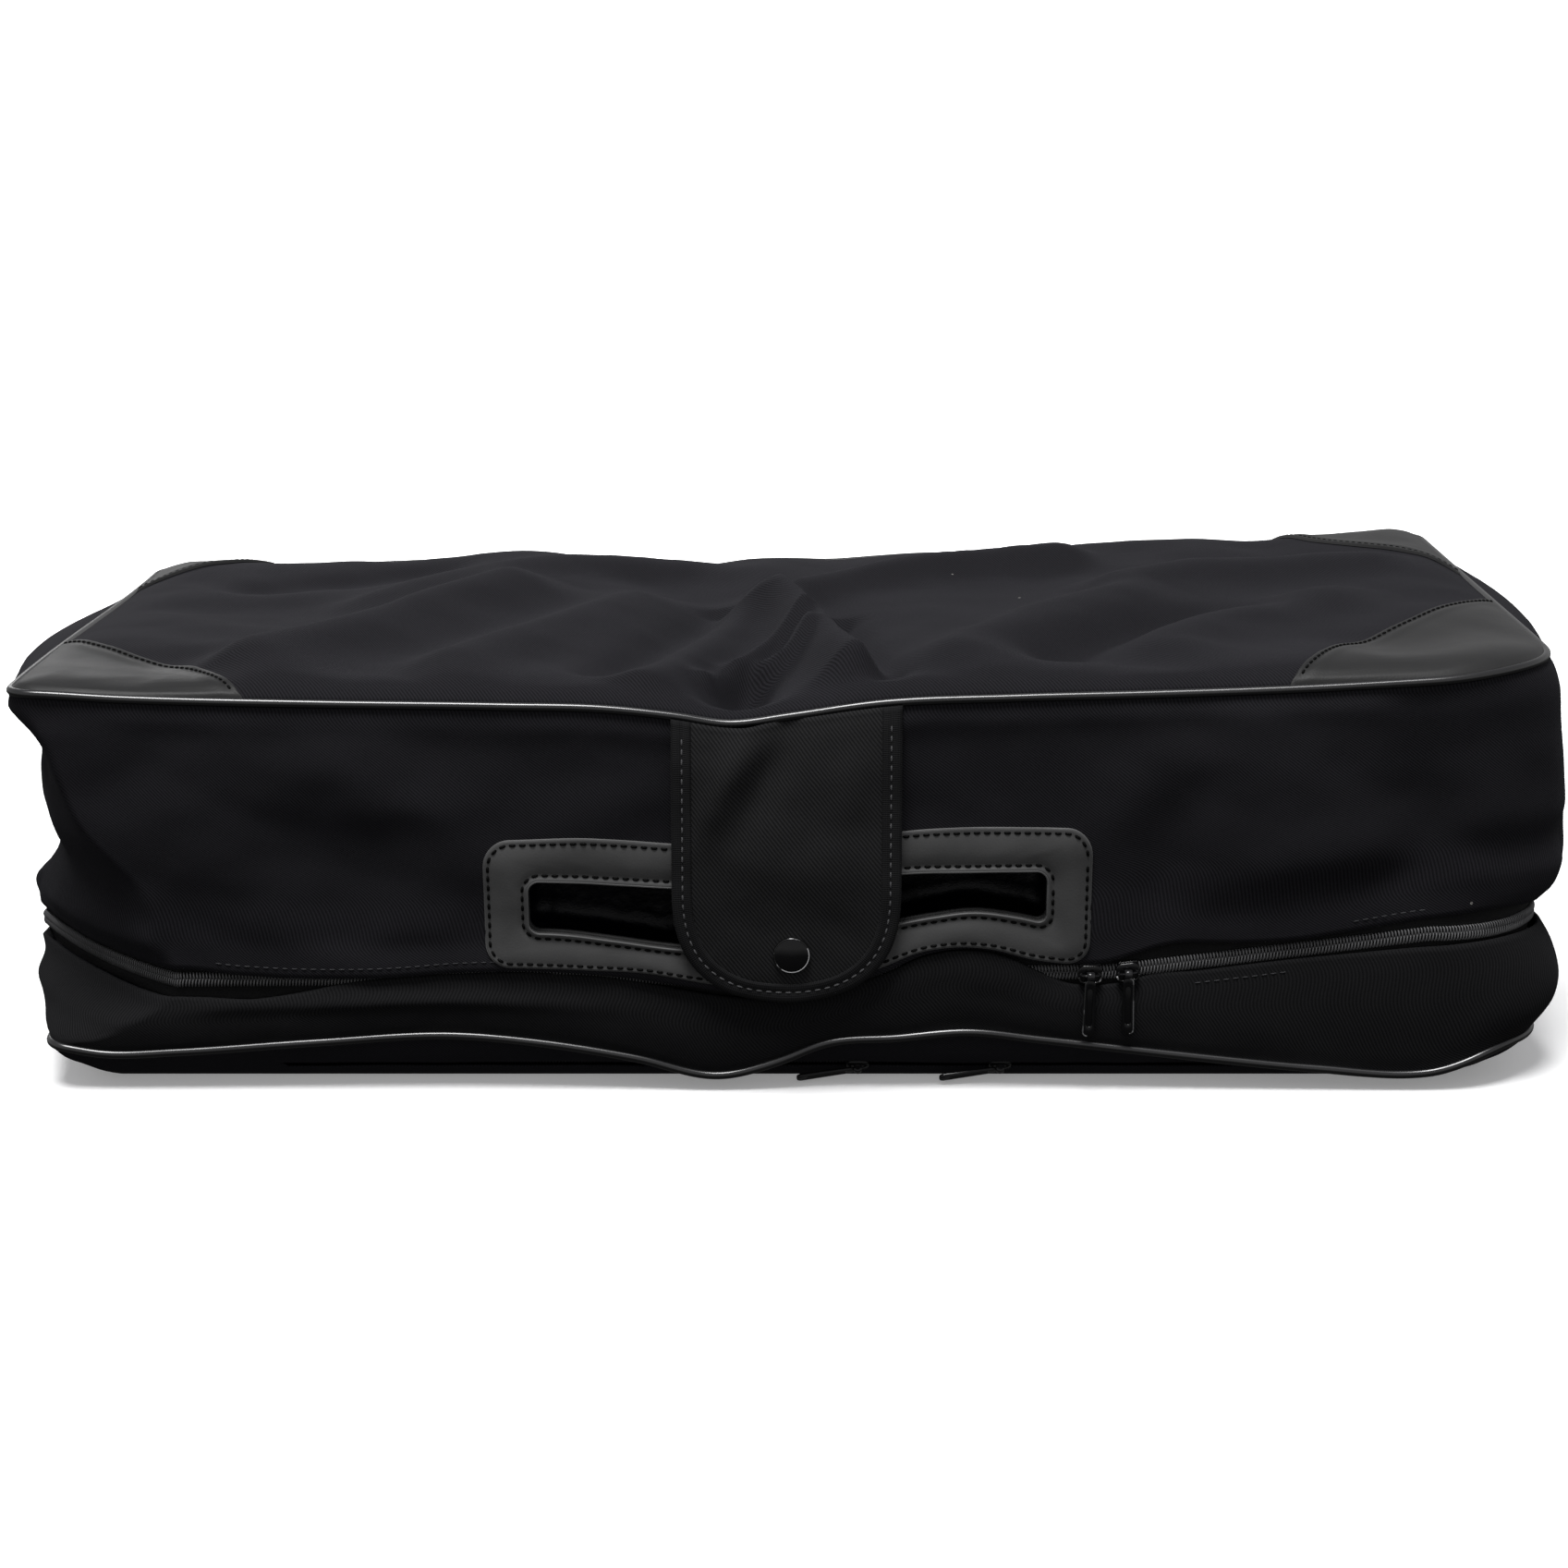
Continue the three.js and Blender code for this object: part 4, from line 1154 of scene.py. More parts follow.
def panel_place(s, t):
    """Maps s and t, each from -1 to 1, onto the plan inside the top seam."""
    s, t = np.asarray(s, float), np.asarray(t, float)
    x, y = plain_place(s, t)
    m = np.maximum(np.maximum(np.abs(s), np.abs(t)), 1e-6)
    rim_x, rim_y = plain_place(s / m, t / m)
    turn = np.arctan2(rim_y, rim_x)
    turn = PLAN_TURN[0] + np.mod(turn - PLAN_TURN[0], 2 * math.pi)
    grow = np.interp(turn, PLAN_TURN, PLAN_REACH) - np.hypot(rim_x, rim_y)
    grow = grow * smooth((m - 0.6) / 0.4)
    return x + grow * np.cos(turn), y + grow * np.sin(turn) + MID_Y


def ridge(x, y, points, height, near, far, ends):
    """A fold along a line of (x, y) points. It spreads by near to the line's left and far to its right."""
    points = np.array(points, float)
    for _ in range(2):
        quarter, most = mix(points[:-1], points[1:], 0.25), mix(points[:-1], points[1:], 0.75)
        between = np.stack([quarter, most], axis=1).reshape(-1, 2)
        points = np.concatenate([points[:1], between, points[-1:]])
    best = np.full(np.shape(x), 1e9)
    value = np.zeros(np.shape(x))
    run = run_length(points)
    for i in range(len(points) - 1):
        a, b = points[i], points[i + 1]
        along = (b - a) / np.linalg.norm(b - a)
        length = run[i + 1] - run[i]
        t = np.clip((x - a[0]) * along[0] + (y - a[1]) * along[1], 0, length)
        dx, dy = x - a[0] - t * along[0], y - a[1] - t * along[1]
        d = np.hypot(dx, dy)
        side = along[0] * dy - along[1] * dx
        width = np.where(side > 0, near, far)
        at = run[i] + t
        taper = smooth(at / ends + 0.15) * smooth((run[-1] - at) / ends + 0.15)
        new = taper * np.exp(-((d / width) ** 2))
        closer = d < best
        value = np.where(closer, new, value)
        best = np.where(closer, d, best)
    return height * value


# Folds of the top panel: a line of (x, y) points, a height, a spread to either side and an end's taper.
PINCH_FOLDS = (
    ([(-7, 30), (3, 10), (15, -50), (23, -92), (33, -128)], 8.0, 9, 15, 14.0),
    ([(-34, -112), (-18, -82), (-5, -62), (11, -34)], 3.6, 6, 5, 10),
    ([(-14, -86), (1, -84), (12, -58)], 3.0, 5, 4, 8),
    ([(-16, -82), (-16, -112), (-15, -139)], -6.5, 12, 13, 20),
    ([(44, -132), (36, -100), (30, -55), (24, -5)], -3.2, 9, 8, 14.0),
    ([(-60, -134), (-46, -108), (-34, -60), (-22, -10), (-14, 24)], 3.0, 14, 12, 14.0),
    ([(-78, -120), (-54, -60), (-26, 34)], -2.6, 11, 10, 14.0),
)
SOFT_FOLDS = (
    ([(-236, -116), (-180, -56), (-149, 8), (-104, 66)], 4.6, 14, 26, 40),
    ([(-150, -126), (-118, -70), (-80, -8), (-52, 60)], 3.4, 14, 24, 40),
    ([(-200, 10), (-150, 66), (-90, 112), (-20, 126)], 2.2, 13, 20, 40),
    ([(-260, 60), (-200, 96), (-140, 128)], -2.4, 14, 16, 30),
    ([(-10, 26), (30, 62), (80, 92), (150, 110)], 4.0, 11, 18, 30),
    ([(56, -124), (84, -70), (120, -20), (170, 20)], 3.6, 16, 26, 40),
    ([(140, -118), (168, -60), (208, -20), (262, 6)], 3.2, 16, 24, 40),
    ([(96, -118), (128, -64), (170, -30), (230, -12)], -2.6, 12, 14, 40),
    ([(130, 20), (170, 50), (230, 62), (285, 60)], 2.8, 13, 20, 30),
)
PINCH_GAIN = 1.9
SOFT_GAIN = 2.1


def top_folds(x, y):
    """The pinch behind the flap and the soft ripples either side of it."""
    pinch = sum(ridge(x, y, *fold) for fold in PINCH_FOLDS)
    soft = sum(ridge(x, y, *fold) for fold in SOFT_FOLDS)
    return PINCH_GAIN * pinch + SOFT_GAIN * soft


def top_height(x, y):
    """How high the top panel's cloth stands."""
    turn = PLAN_TURN[0] + np.mod(np.arctan2(y - MID_Y, x) - PLAN_TURN[0], 2 * math.pi)
    spare = np.interp(turn, PLAN_TURN, PLAN_REACH) / np.maximum(np.hypot(x, y - MID_Y), 1e-6) - 1
    d = np.minimum(np.minimum(HALF_X * spare, HALF_Y * spare * 2), np.minimum(y - FRONT, BACK - y))
    d = np.maximum(d, 0)
    front = 1 - smooth((y - FRONT) / 60)
    left_corner = 1 - smooth((np.hypot(x + HALF_X, y - FRONT) - 40) / 60)
    right_corner = 1 - smooth((np.hypot(x - HALF_X, y - FRONT) - 40) / 60)
    steep = mix(4.4, 7.4, front) - 3.6 * left_corner - 2.6 * right_corner
    crown = steep * (1 - np.exp(-d / mix(9, 6.5, front))) + 1.6 * (1 - np.exp(-d / 60))
    soft = 1.5 * cloth_noise(x, y, 0 * x, 110) + 0.5 * cloth_noise(x, y, 0 * x + 40, 32, 2)
    inner = smooth(d / 16)
    return seam_z(x, y) + 0.4 + crown + (top_folds(x, y) + soft) * inner


PANEL_NX = 300
PANEL_NY = 150
PANEL_THICK = 1.2


def spread(n):
    """Positions from -1 to 1, a little closer together near both ends."""
    t = np.linspace(-1, 1, n)
    return 0.8 * t + 0.2 * np.sin(t * math.pi / 2)


panel_s, panel_t = np.meshgrid(spread(PANEL_NX), spread(PANEL_NY))
panel_x, panel_y = panel_place(panel_s, panel_t)
panel_z = top_height(panel_x, panel_y)
panel_points = np.stack([panel_x, panel_y, panel_z], axis=-1)
panel_rim = np.maximum(np.abs(panel_s), np.abs(panel_t)) > 0.975
panel_free = 1 - 0.7 * bump(panel_x, -2, 60) * (1 - smooth((panel_y - 20) / 50))
panel_shift = drape(panel_points[1:-1:2], panel_rim[1:-1:2], False)
panel_points[1:-1:2] += panel_shift * panel_free[1:-1:2, :, None]
panel_points[2:-2:2] = (panel_points[1:-3:2] + panel_points[3:-1:2]) / 2
top_cloth = new_object(
    "top_cloth",
    panel_points.reshape(-1, 3),
    grid_faces(PANEL_NY, PANEL_NX),
    "lid",
    list(zip(panel_x.ravel(), panel_y.ravel())),
)
thicken(top_cloth, PANEL_THICK)
finish_piece(top_cloth, CLOTH, ["top_panel"])


def top_at(x, y):
    """The height and the normal of the top panel's cloth at a place, from its grid."""
    hit, normal, _, _ = TOP_TREE.ray_cast(Vector((x, y, 400)), Vector((0, 0, -1)))
    if hit is None:
        return float(seam_z(np.array(x), np.array(y))), Vector((0, 0, 1))
    return hit.z, normal if normal.z > 0 else -normal


def grid_tree(grid, faces):
    return BVHTree.FromPolygons([tuple(p) for p in grid.reshape(-1, 3)], faces)


TOP_TREE = grid_tree(panel_points, grid_faces(PANEL_NY, PANEL_NX))

# ---------- leatherette corner patches ----------
PATCH_GRID = (72, 40)
PATCH_BOW = 6.0
PATCH_STITCHES = 60


def corner_patch(name, sx, sy, cad_node, leg_x, leg_y):
    """A leather patch between the seam round a corner and a nearly straight inner edge."""
    along, across = PATCH_GRID
    legs = leg_y / (leg_x + leg_y)
    far_end = np.array(panel_place(sx, sy * (1 - leg_y / HALF_Y)))
    near_end = np.array(panel_place(sx * (1 - leg_x / HALF_X), sy))
    out = np.array((-(near_end - far_end)[1], (near_end - far_end)[0]))
    out /= np.linalg.norm(out)
    if out[0] * sx > 0:
        out = -out

    def seam_and_edge(w):
        if w < legs:
            seam = panel_place(sx, sy * (1 - leg_y / HALF_Y * (1 - w / legs)))
        else:
            seam = panel_place(sx * (1 - leg_x / HALF_X * (w - legs) / (1 - legs)), sy)
        bowed = out * PATCH_BOW * float(bump(w, 0.72, 0.3)) * math.sin(math.pi * w)
        return np.array(seam), mix(far_end, near_end, w) + bowed

    rows = []
    for i in range(along + 1):
        seam, edge = seam_and_edge(i / along)
        reach = float(np.linalg.norm(seam - edge))
        row = []
        for j in range(across + 1):
            t = (j / across) ** 1.6
            x, y = mix(edge, seam, t)
            z, _ = top_at(float(x) * 0.9995, mix(float(y), MID_Y, 0.001))
            d = t * reach
            stand = 1.1 * smooth(np.array(d / 0.7)) * smooth(np.array(((1 - t) * reach + 0.6) / 2.0)) + 0.1
            hem_roll = 0.45 * float(bump(d, 1.2, 1.4)) - 0.3 * float(bump(d, 3.0, 1.0))
            stand += hem_roll * min(reach / 12, 1)
            stand += 0.5 * float(bump(d, 6.0, 2.6)) * min(reach / 20, 1)
            row.append((float(x), float(y), z + float(stand)))
        rows.append(row)
    obj = loft(name, rows, "lid", closed=False)
    merge_close(obj)
    if sum(poly.normal.z for poly in obj.data.polygons) < 0:
        obj.data.flip_normals()
    obj.data.shade_smooth()
    finish_piece(obj, LEATHER, [cad_node])
    line = []
    normals = []
    for k in range(PATCH_STITCHES):
        _, edge = seam_and_edge(0.03 + 0.94 * k / (PATCH_STITCHES - 1))
        x, y = edge - out * 2.4
        z, normal = top_at(float(x), float(y))
        line.append((float(x), float(y), z + 1.25))
        normals.append(normal)
    stitches(name + "_stitching", line, normals, 3.6, 2.6, 0.5, "lid", DARK_THREAD)


for patch_place, patch_sx, patch_sy, patch_legs in (
    ("front_left", -1, -1, (86, 94)),
    ("front_right", 1, -1, (100, 132)),
    ("rear_left", -1, 1, (52, 64)),
    ("rear_right", 1, 1, (64, 104)),
):
    corner_patch(patch_place + "_leather", patch_sx, patch_sy, patch_place + "_patch", *patch_legs)


# ---------- the leatherette handle frame ----------
def frame_line(from_edge, inset, stand):
    """A line round the handle frame: inset from its outer edge, or that far outside its slot."""
    if from_edge:
        size = (FRAME_HALF_W - inset, FRAME_HALF_H - inset, 10 - inset * 0.8)
    else:
        size = (GRIP_HALF_W + inset, GRIP_HALF_H + inset, 4.5 + inset)
    flat = rounded_rect(GRIP_X, GRIP_Z, *size)
    return lid_front(flat[:, 0], flat[:, 1], stand)


# Cross-sections round the frame: whether a point is measured from the outer edge, its inset and its stand.
FRAME_SECTION = (
    [(True, 0, 0.05), (True, 0, 0.8), (True, 0.3, 1.25), (True, 0.9, 1.5), (True, 1.7, 1.3)]
    + [(True, 2.6, 1.65), (True, 5, 2.2), (True, 7.5, 2.5), (False, 5.5, 2.3), (False, 3.2, 1.75)]
    + [(False, 2.3, 1.4), (False, 1.5, 1.9), (False, 0.9, 2.6), (False, 0.3, 2.5), (False, 0, 1.6)]
    + [(False, 0, -1.6), (False, 3, -1.6), (False, 3.2, 0.05)]
)
frame_rings = np.array([frame_line(*row) for row in FRAME_SECTION])
frame_piece = section_loop("handle_leather", frame_rings.transpose(1, 0, 2), "lid")
finish_piece(frame_piece, LIT_FRAME_LEATHER, ["handle_frame"])
OUT_FRONT = (0, -1, 0)
for row_name, row_place in (("outer", (True, 1.8, 1.3)), ("inner", (False, 2.3, 1.4))):
    row_line = frame_line(*row_place)
    row_out = [OUT_FRONT] * len(row_line)
    row_name = "handle_" + row_name + "_stitching"
    stitches(row_name, row_line, row_out, 4.0, 2.9, 0.6, "lid", DARK_THREAD, closed=True)
FRAME_EDGES = (("slot", (False, 0.2, 2.2), 0.5), ("frame", (True, 0.25, 0.75), 0.42))
for edge_name, edge_place, edge_r in FRAME_EDGES:
    edge_piece = tube("handle_" + edge_name + "_edge", frame_line(*edge_place), edge_r, "lid")
    finish_piece(edge_piece, EDGE_PAINT)

BACK_SECTION = (
    [(True, 2, -4.4), (True, 2.4, -4.1), (False, 1, -4.1), (False, 0, -4.5), (False, 0, -6.0)]
    + [(False, 1, -6.4), (True, 2.4, -6.4)]
)
back_rings = np.array([frame_line(*row) for row in BACK_SECTION])
back_piece = section_loop("handle_backing_ring", back_rings.transpose(1, 0, 2), "lid")
finish_piece(back_piece, LEATHER, ["handle_backing"])

# ---------- the flap ----------
FLAP_LEFT, FLAP_RIGHT = span("flap_binding", 0)
FLAP_MID = (FLAP_LEFT + FLAP_RIGHT) / 2
FLAP_HALF = (FLAP_RIGHT - FLAP_LEFT) / 2
FLAP_TIP = span("flap_binding", 2)[0]
FLAP_TOP = 157
FLAP_THICK = 1.8
FLAP_STITCH_INSET = 4.0
FLAP_STITCH_TOP = 151
FLAP_STEPS = (34, 46)
FLAP_ROUND = FLAP_TIP + FLAP_HALF
FLAP_STAND = profile(
    [(41, 6.0), (52, 7.2), (66, 7.8), (100, 7.8), (120, 6.8), (138, 4.8), (150, 2.2), (157, 0.2)]
)


def flap_point(x, z, stand=0.0):
    """A place on the flap's outer face. It hangs from the seam, so its top follows the seam's dip."""
    x, z = np.broadcast_arrays(np.asarray(x, float), np.asarray(z, float))
    across = (x - FLAP_MID) / FLAP_HALF
    upper = smooth((z - 118) / 38)
    lift = top_sag(x, FRONT + 0 * x) * upper
    out = FLAP_STAND(z) + 2.0 - 2.2 * across**2 * smooth((160 - z) / 50)
    slant = x + 26 - 0.36 * (z - 126)
    out = out + 4.6 * np.exp(-((slant / np.where(slant > 0, 10, 5)) ** 2)) * bump(z, 132, 26)
    out = out - 3.2 * bump(slant, 16, 8) * bump(z, 138, 22)
    out = out + 1.3 * bump(x - 0.22 * (z - 120), 24, 8) * bump(z, 126, 28)
    out = out + 2.2 * bump(x + 0.35 * (z - 96), 2, 24) * bump(z, 97, 14)
    out = out + 1.5 * cloth_noise(x, 0 * x, z, 46) * smooth((158 - z) / 14)
    return np.stack([x, FRONT - out - stand, z + lift], axis=-1)


def flap_outline(inset):
    """Down the left edge, round the tip and up the right edge, inset millimetres in from the edge."""
    half = FLAP_HALF - inset
    straight, curved = FLAP_STEPS
    points = [(FLAP_MID - half, mix(FLAP_TOP, FLAP_ROUND, i / straight)) for i in range(straight)]
    for i in range(curved + 1):
        a = math.pi * i / curved
        squash = 1 + 0.07 * math.sin(2 * a) ** 2
        points.append((FLAP_MID - half * squash * math.cos(a), FLAP_ROUND - half * squash * math.sin(a)))
    points += [(FLAP_MID + half, mix(FLAP_ROUND, FLAP_TOP, (i + 1) / straight)) for i in range(straight)]
    return np.array(points)


flap_rings = []
for inset in np.concatenate([np.linspace(0.6, 9, 5), np.linspace(12, FLAP_HALF - 1, 12)]):
    outline = flap_outline(float(inset))
    flap_rings.append(flap_point(outline[:, 0], outline[:, 1]))
middle_line = flap_outline(FLAP_HALF - 1)
flap_rings.append(flap_point(0 * middle_line[:, 0] + FLAP_MID, middle_line[:, 1]))
flap_cloth = loft("flap_cloth", flap_rings, "flap", closed=False)
merge_close(flap_cloth)
flap_layer = flap_cloth.data.uv_layers[0]
for loop in flap_cloth.data.loops:
    spot = flap_cloth.data.vertices[loop.vertex_index].co
    flap_layer.data[loop.index].uv = (spot.x, spot.z)
flap_cloth.data.update()
if flap_cloth.data.polygons[0].normal.y > 0:
    flap_cloth.data.flip_normals()
thicken(flap_cloth, FLAP_THICK)
finish_piece(flap_cloth, CLOTH_FLAP, ["flap_panel"])

# The binding's cross-section: inset from the flap's edge, and how far it stands out from the cloth.
BIND_SECTION = (
    [(7.6, 0.05), (7.4, 0.5), (6.4, 0.75), (4.4, 0.62), (4.0, 0.45), (3.6, 0.65), (2.0, 0.95)]
    + [(0.6, 0.8), (-0.1, 0.2), (-0.4, -0.9), (-0.1, -2.1), (0.8, -2.6), (6.4, -2.5), (7.4, -2.2)]
    + [(7.4, -1.9), (1.6, -1.0)]
)
bind_rings = []
for inset, stand in BIND_SECTION:
    outline = flap_outline(inset)
    bind_rings.append(flap_point(outline[:, 0], outline[:, 1], stand))
binding = section_loop("flap_binding_band", np.array(bind_rings).transpose(1, 0, 2), "flap", closed=False)
finish_piece(binding, BINDING, ["flap_binding"])
outline = flap_outline(FLAP_STITCH_INSET)
outline = outline[outline[:, 1] < FLAP_STITCH_TOP]
stitch_line = flap_point(outline[:, 0], outline[:, 1], 0.5)
stitches("flap_stitching", stitch_line, [OUT_FRONT] * len(outline), 3.9, 2.6, 0.36, "flap", PALE_THREAD)

# ---------- the snap ----------
SNAP_X = sum(span("snap_cap", 0)) / 2
SNAP_Z = sum(span("snap_cap", 2)) / 2
SNAP_TILT = (0, -1, 0.03)
snap_seat = flap_point(SNAP_X, SNAP_Z)
stud_seat = lid_front(SNAP_X, SNAP_Z, 1.2)
cap_outline = [(6.9, -0.3), (7.3, 0.1), (7.35, 0.7), (7.1, 1.15), (6.4, 1.5), (5.2, 1.85), (3.8, 2.15)]
cap_outline += [(2.2, 2.4), (0.4, 2.5)]
# The ring round the dome's edge carries a painted highlight in broken bright arcs.
ring_outline = [(6.7, 1.25), (6.85, 1.45), (7.05, 1.4), (7.15, 1.2), (7.0, 1.0), (6.8, 1.0)]
socket_outline = [(5.2, 0), (5.4, 0.5), (5.4, 2.2), (5.0, 2.8), (3.4, 2.9), (3.1, 2.2), (3.0, 0.9)]
socket_outline += [(0.4, 0.7)]
stud_outline = [(5.0, 0), (5.0, 0.4), (4.4, 0.8), (2.2, 0.9), (1.9, 1.5), (2.2, 2.6), (2.0, 3.2)]
stud_outline += [(1.2, 3.5), (0.3, 3.55)]
post_outline = [(5.0, 0), (5.0, 0.5), (4.2, 0.9), (1.6, 1.0), (1.4, 0.6), (0.3, 0.6)]
socket_seat = snap_seat + np.array((0, 2.3, 0))
post_seat = stud_seat + np.array((0, 8.0, 0))
for snap_name, snap_outline, snap_place, snap_axis, snap_body, snap_nodes in (
    ("snap_dome", cap_outline, snap_seat, SNAP_TILT, "flap", ["snap_cap"]),
    ("snap_dome_edge", ring_outline, snap_seat, SNAP_TILT, "flap", []),
    ("snap_socket_ring", socket_outline, socket_seat, (0, 1, 0), "flap", ["snap_socket"]),
    ("snap_stud_post", stud_outline, stud_seat, (0, -1, 0), "lid", ["snap_stud"]),
    ("snap_back_rivet", post_outline, post_seat, (0, 1, 0), "lid", ["snap_post"]),
):
    snap_piece = lathe(snap_name, snap_outline, snap_place, snap_axis, snap_body)
    finish_piece(snap_piece, HARDWARE if snap_nodes else RIM_GLINT, snap_nodes)


# ---------- the main zip ----------
def zip_path():
    """The zip's centre line from its left end, round the front, to its right end, at the wall's face."""
    plan = plan_level(47, 64)
    normal = outward(plan)
    keep = [i for i in range(NC) if plan[i, 1] < ZIP_END_Y - 4]
    x, y = plan[keep, 0], plan[keep, 1]
    z = zip_height(x, y) + chain_sag(x, y)
    face = np.stack([x, y, z, normal[keep, 0], normal[keep, 1]], axis=1)
    return face, run_length(face[:, :3])


ZIP_FACE, ZIP_RUN = zip_path()


def along_zip(s, depth, up):
    """A point on the zip, s along it, depth in from the wall's face and up from the centre line."""
    p = [np.interp(s, ZIP_RUN, ZIP_FACE[:, k]) for k in range(5)]
    return np.stack([p[0] - p[3] * depth, p[1] - p[4] * depth, p[2] + up], axis=-1)


COIL_PITCH = 1.3
COIL_TURN_POINTS = 10
COIL_DEPTH = 1.9
COIL_SIDES = 5


def coil(name, at, length, side, body, nodes, sweep, wire=0.36):
    """One half of a zip chain: a wound filament whose loops meet the other half's."""
    n = int(length / COIL_PITCH * COIL_TURN_POINTS)
    s = np.arange(n) * COIL_PITCH / COIL_TURN_POINTS
    a = 2 * math.pi * np.arange(n) / COIL_TURN_POINTS + (math.pi if side > 0 else 0)
    axis_up = sweep[0] - 0.3
    middle = at(s, COIL_DEPTH + sweep[1] * np.cos(a), side * (axis_up + sweep[0] * np.sin(a)))
    along = unit_rows(np.gradient(middle, axis=0))
    outer = unit_rows(middle - at(s, COIL_DEPTH, side * axis_up))
    vertices = round_section(middle, outer, np.cross(along, outer), wire, COIL_SIDES)
    without_caps = swept_faces(n, COIL_SIDES, False, flip=True)[:-2]
    obj = new_object(name, vertices, without_caps, body)
    return finish_piece(obj, COIL, nodes)


# The tape's cross-section: distance from the chain's middle, and how far it sinks. None is its sewn edge.
TAPE_SECTION = ((0.5, 0.0), (0.8, -0.25), (3.6, -0.25), (4.2, -0.1), (6.0, 0.0), (8.0, 0.1), (None, 0.2))


def tape(name, at, length, side, body, nodes, far=10.5, depth=3.3):
    """The woven tape behind one half of a chain, with a raised cord along its inner edge."""
    s = np.linspace(0, length, 400)
    rows = [at(s, depth + sink, side * (far if up is None else up)) for up, sink in TAPE_SECTION]
    obj = loft(name, rows, body, closed=False)
    thicken(obj, 0.7, 0)
    return finish_piece(obj, TAPE, nodes)


ZIP_LENGTH = float(ZIP_RUN[-1])
for half, side, half_body in (("upper", 1, "lid"), ("lower", -1, "base")):
    coil(half + "_coil", along_zip, ZIP_LENGTH, side, half_body, [half + "_zip_coil"], (1.6, 1.0))
for half, side, half_body in (("upper", 1, "lid"), ("lower", -1, "base")):
    tape(half + "_tape", along_zip, ZIP_LENGTH, side, half_body, [half + "_zip_tape"])


def smooth_mesh(name, work):
    """Turns a bmesh into a smoothly shaded mesh and frees it."""
    mesh = bpy.data.meshes.new(name)
    work.to_mesh(mesh)
    work.free()
    mesh.shade_smooth()
    return mesh


def block(name, centre, half, r, body):
    """A small bevelled block."""
    work = bmesh.new()
    bmesh.ops.create_cube(work, size=2)
    for v in work.verts:
        v.co = Vector((v.co.x * half[0], v.co.y * half[1], v.co.z * half[2])) / 1000
    bmesh.ops.bevel(work, geom=list(work.edges), offset=r / 1000, segments=3, affect="EDGES", profile=0.5)
    obj = link_object(name, smooth_mesh(name, work), body)
    obj.location = Vector(centre) / 1000
    return obj


def join(name, parts, body):
    """Makes one object of several, with their placing baked in."""
    work = bmesh.new()
    for part in parts:
        part.data.transform(part.matrix_basis)
        work.from_mesh(part.data)
        bpy.data.objects.remove(part)
    return link_object(name, smooth_mesh(name, work), body)


def plate(name, outline, inner_outline, y0, y1, r, body):
    """A flat plate in the XZ plane, between an outline and an inner outline of as many points."""
    outer, inner = np.array(outline, float), np.array(inner_outline, float)
    unit = (outer - inner) / np.maximum(np.linalg.norm(outer - inner, axis=1)[:, None], 1e-6)
    soft = ((0, r), (r * 0.3, r * 0.3), (r, 0))
    section = [(outer - unit * d, y0 + b) for d, b in soft]
    section += [(inner + unit * d, y0 + b) for d, b in reversed(soft)]
    section += [(inner + unit * d, y1 - b) for d, b in soft]
    section += [(outer - unit * d, y1 - b) for d, b in reversed(soft)]
    sections = np.array([[(p[i, 0], y, p[i, 1]) for p, y in section] for i in range(len(outer))])
    return section_loop(name, sections, body)


def pull_outline(half_w, top, bottom, r, waist=0.0, n=12):
    """The outline of a pull tab, clockwise from its top, narrower there by the share waist."""
    points = []
    for cx, cz, start in (
        (half_w - r, top - r, 90),
        (half_w - r, bottom + r, 0),
        (-half_w + r, bottom + r, -90),
        (-half_w + r, top - r, -180),
    ):
        for i in range(n):
            a = math.radians(start - 90 * i / (n - 1))
            points.append((cx + r * math.cos(a), cz + r * math.sin(a)))
    for i, (x, z) in enumerate(points):
        level = (z - bottom) / (top - bottom)
        points[i] = (x * (1 - waist * float(smooth(level))), z)
    return points


def place(obj, centre, turn):
    """Turns a piece and moves it to its centre, both baked into its mesh."""
    obj.data.transform(Matrix.Translation(Vector(centre) / 1000) @ turn)
    obj.data.update()
    return obj


MAIN_LOOP_REACH = 4.0
POCKET_LOOP_REACH = 2.7


def make_slider(name, body, cad_node, centre, turn, reach, wear_and_glint=True):
    """A coil-zip slider: two shaped plates joined by a wedge, and the arched loop that holds the pull."""
    front = pull_outline(4.6, 3.7, -3.7, 2.4, 0, 10)
    core = [(x * 0.03, z * 0.03) for x, z in front]
    face = plate(name + "_face", front, core, -1.6, 0.2, 0.55, body)
    back = plate(name + "_back", front, core, 5.1, 6.1, 0.3, body)
    wedge = block(name + "_wedge", (-2.6, 2.4, 0), (1.5, 2.9, 1.0), 0.3, body)
    top_rim, low_rim = (
        block(name + rim_name, (0.4, 1.0, rim_z), (3.9, 1.0, 0.45), 0.25, body)
        for rim_name, rim_z in (("_top_rim", 3.45), ("_low_rim", -3.45))
    )
    arch_turns = [math.pi * i / 14 for i in range(15)]
    arch = [(3.6 * math.cos(a), -1.3 - (reach - 1.3) * math.sin(a) ** 0.6, 0.0) for a in arch_turns]
    loop = tube(name + "_loop", arch, 0.62, body, closed=False, sides=10)
    obj = join(name, [face, back, wedge, top_rim, low_rim, loop], body)
    place(obj, centre, turn)
    # A thin bright tube round the slider's lower end is a painted highlight.
    if wear_and_glint:
        lower = [(x, -1.5, z) for x, z in pull_outline(4.4, 3.5, -3.5, 2.3, 0, 10) if z < -0.6]
        glint_rim_tube = tube(name + "_rim", lower, 0.4, body, closed=False, sides=8)
        place(glint_rim_tube, centre, turn)
        finish_piece(glint_rim_tube, RIM_GLINT)
    return finish_piece(obj, HARDWARE, [cad_node])


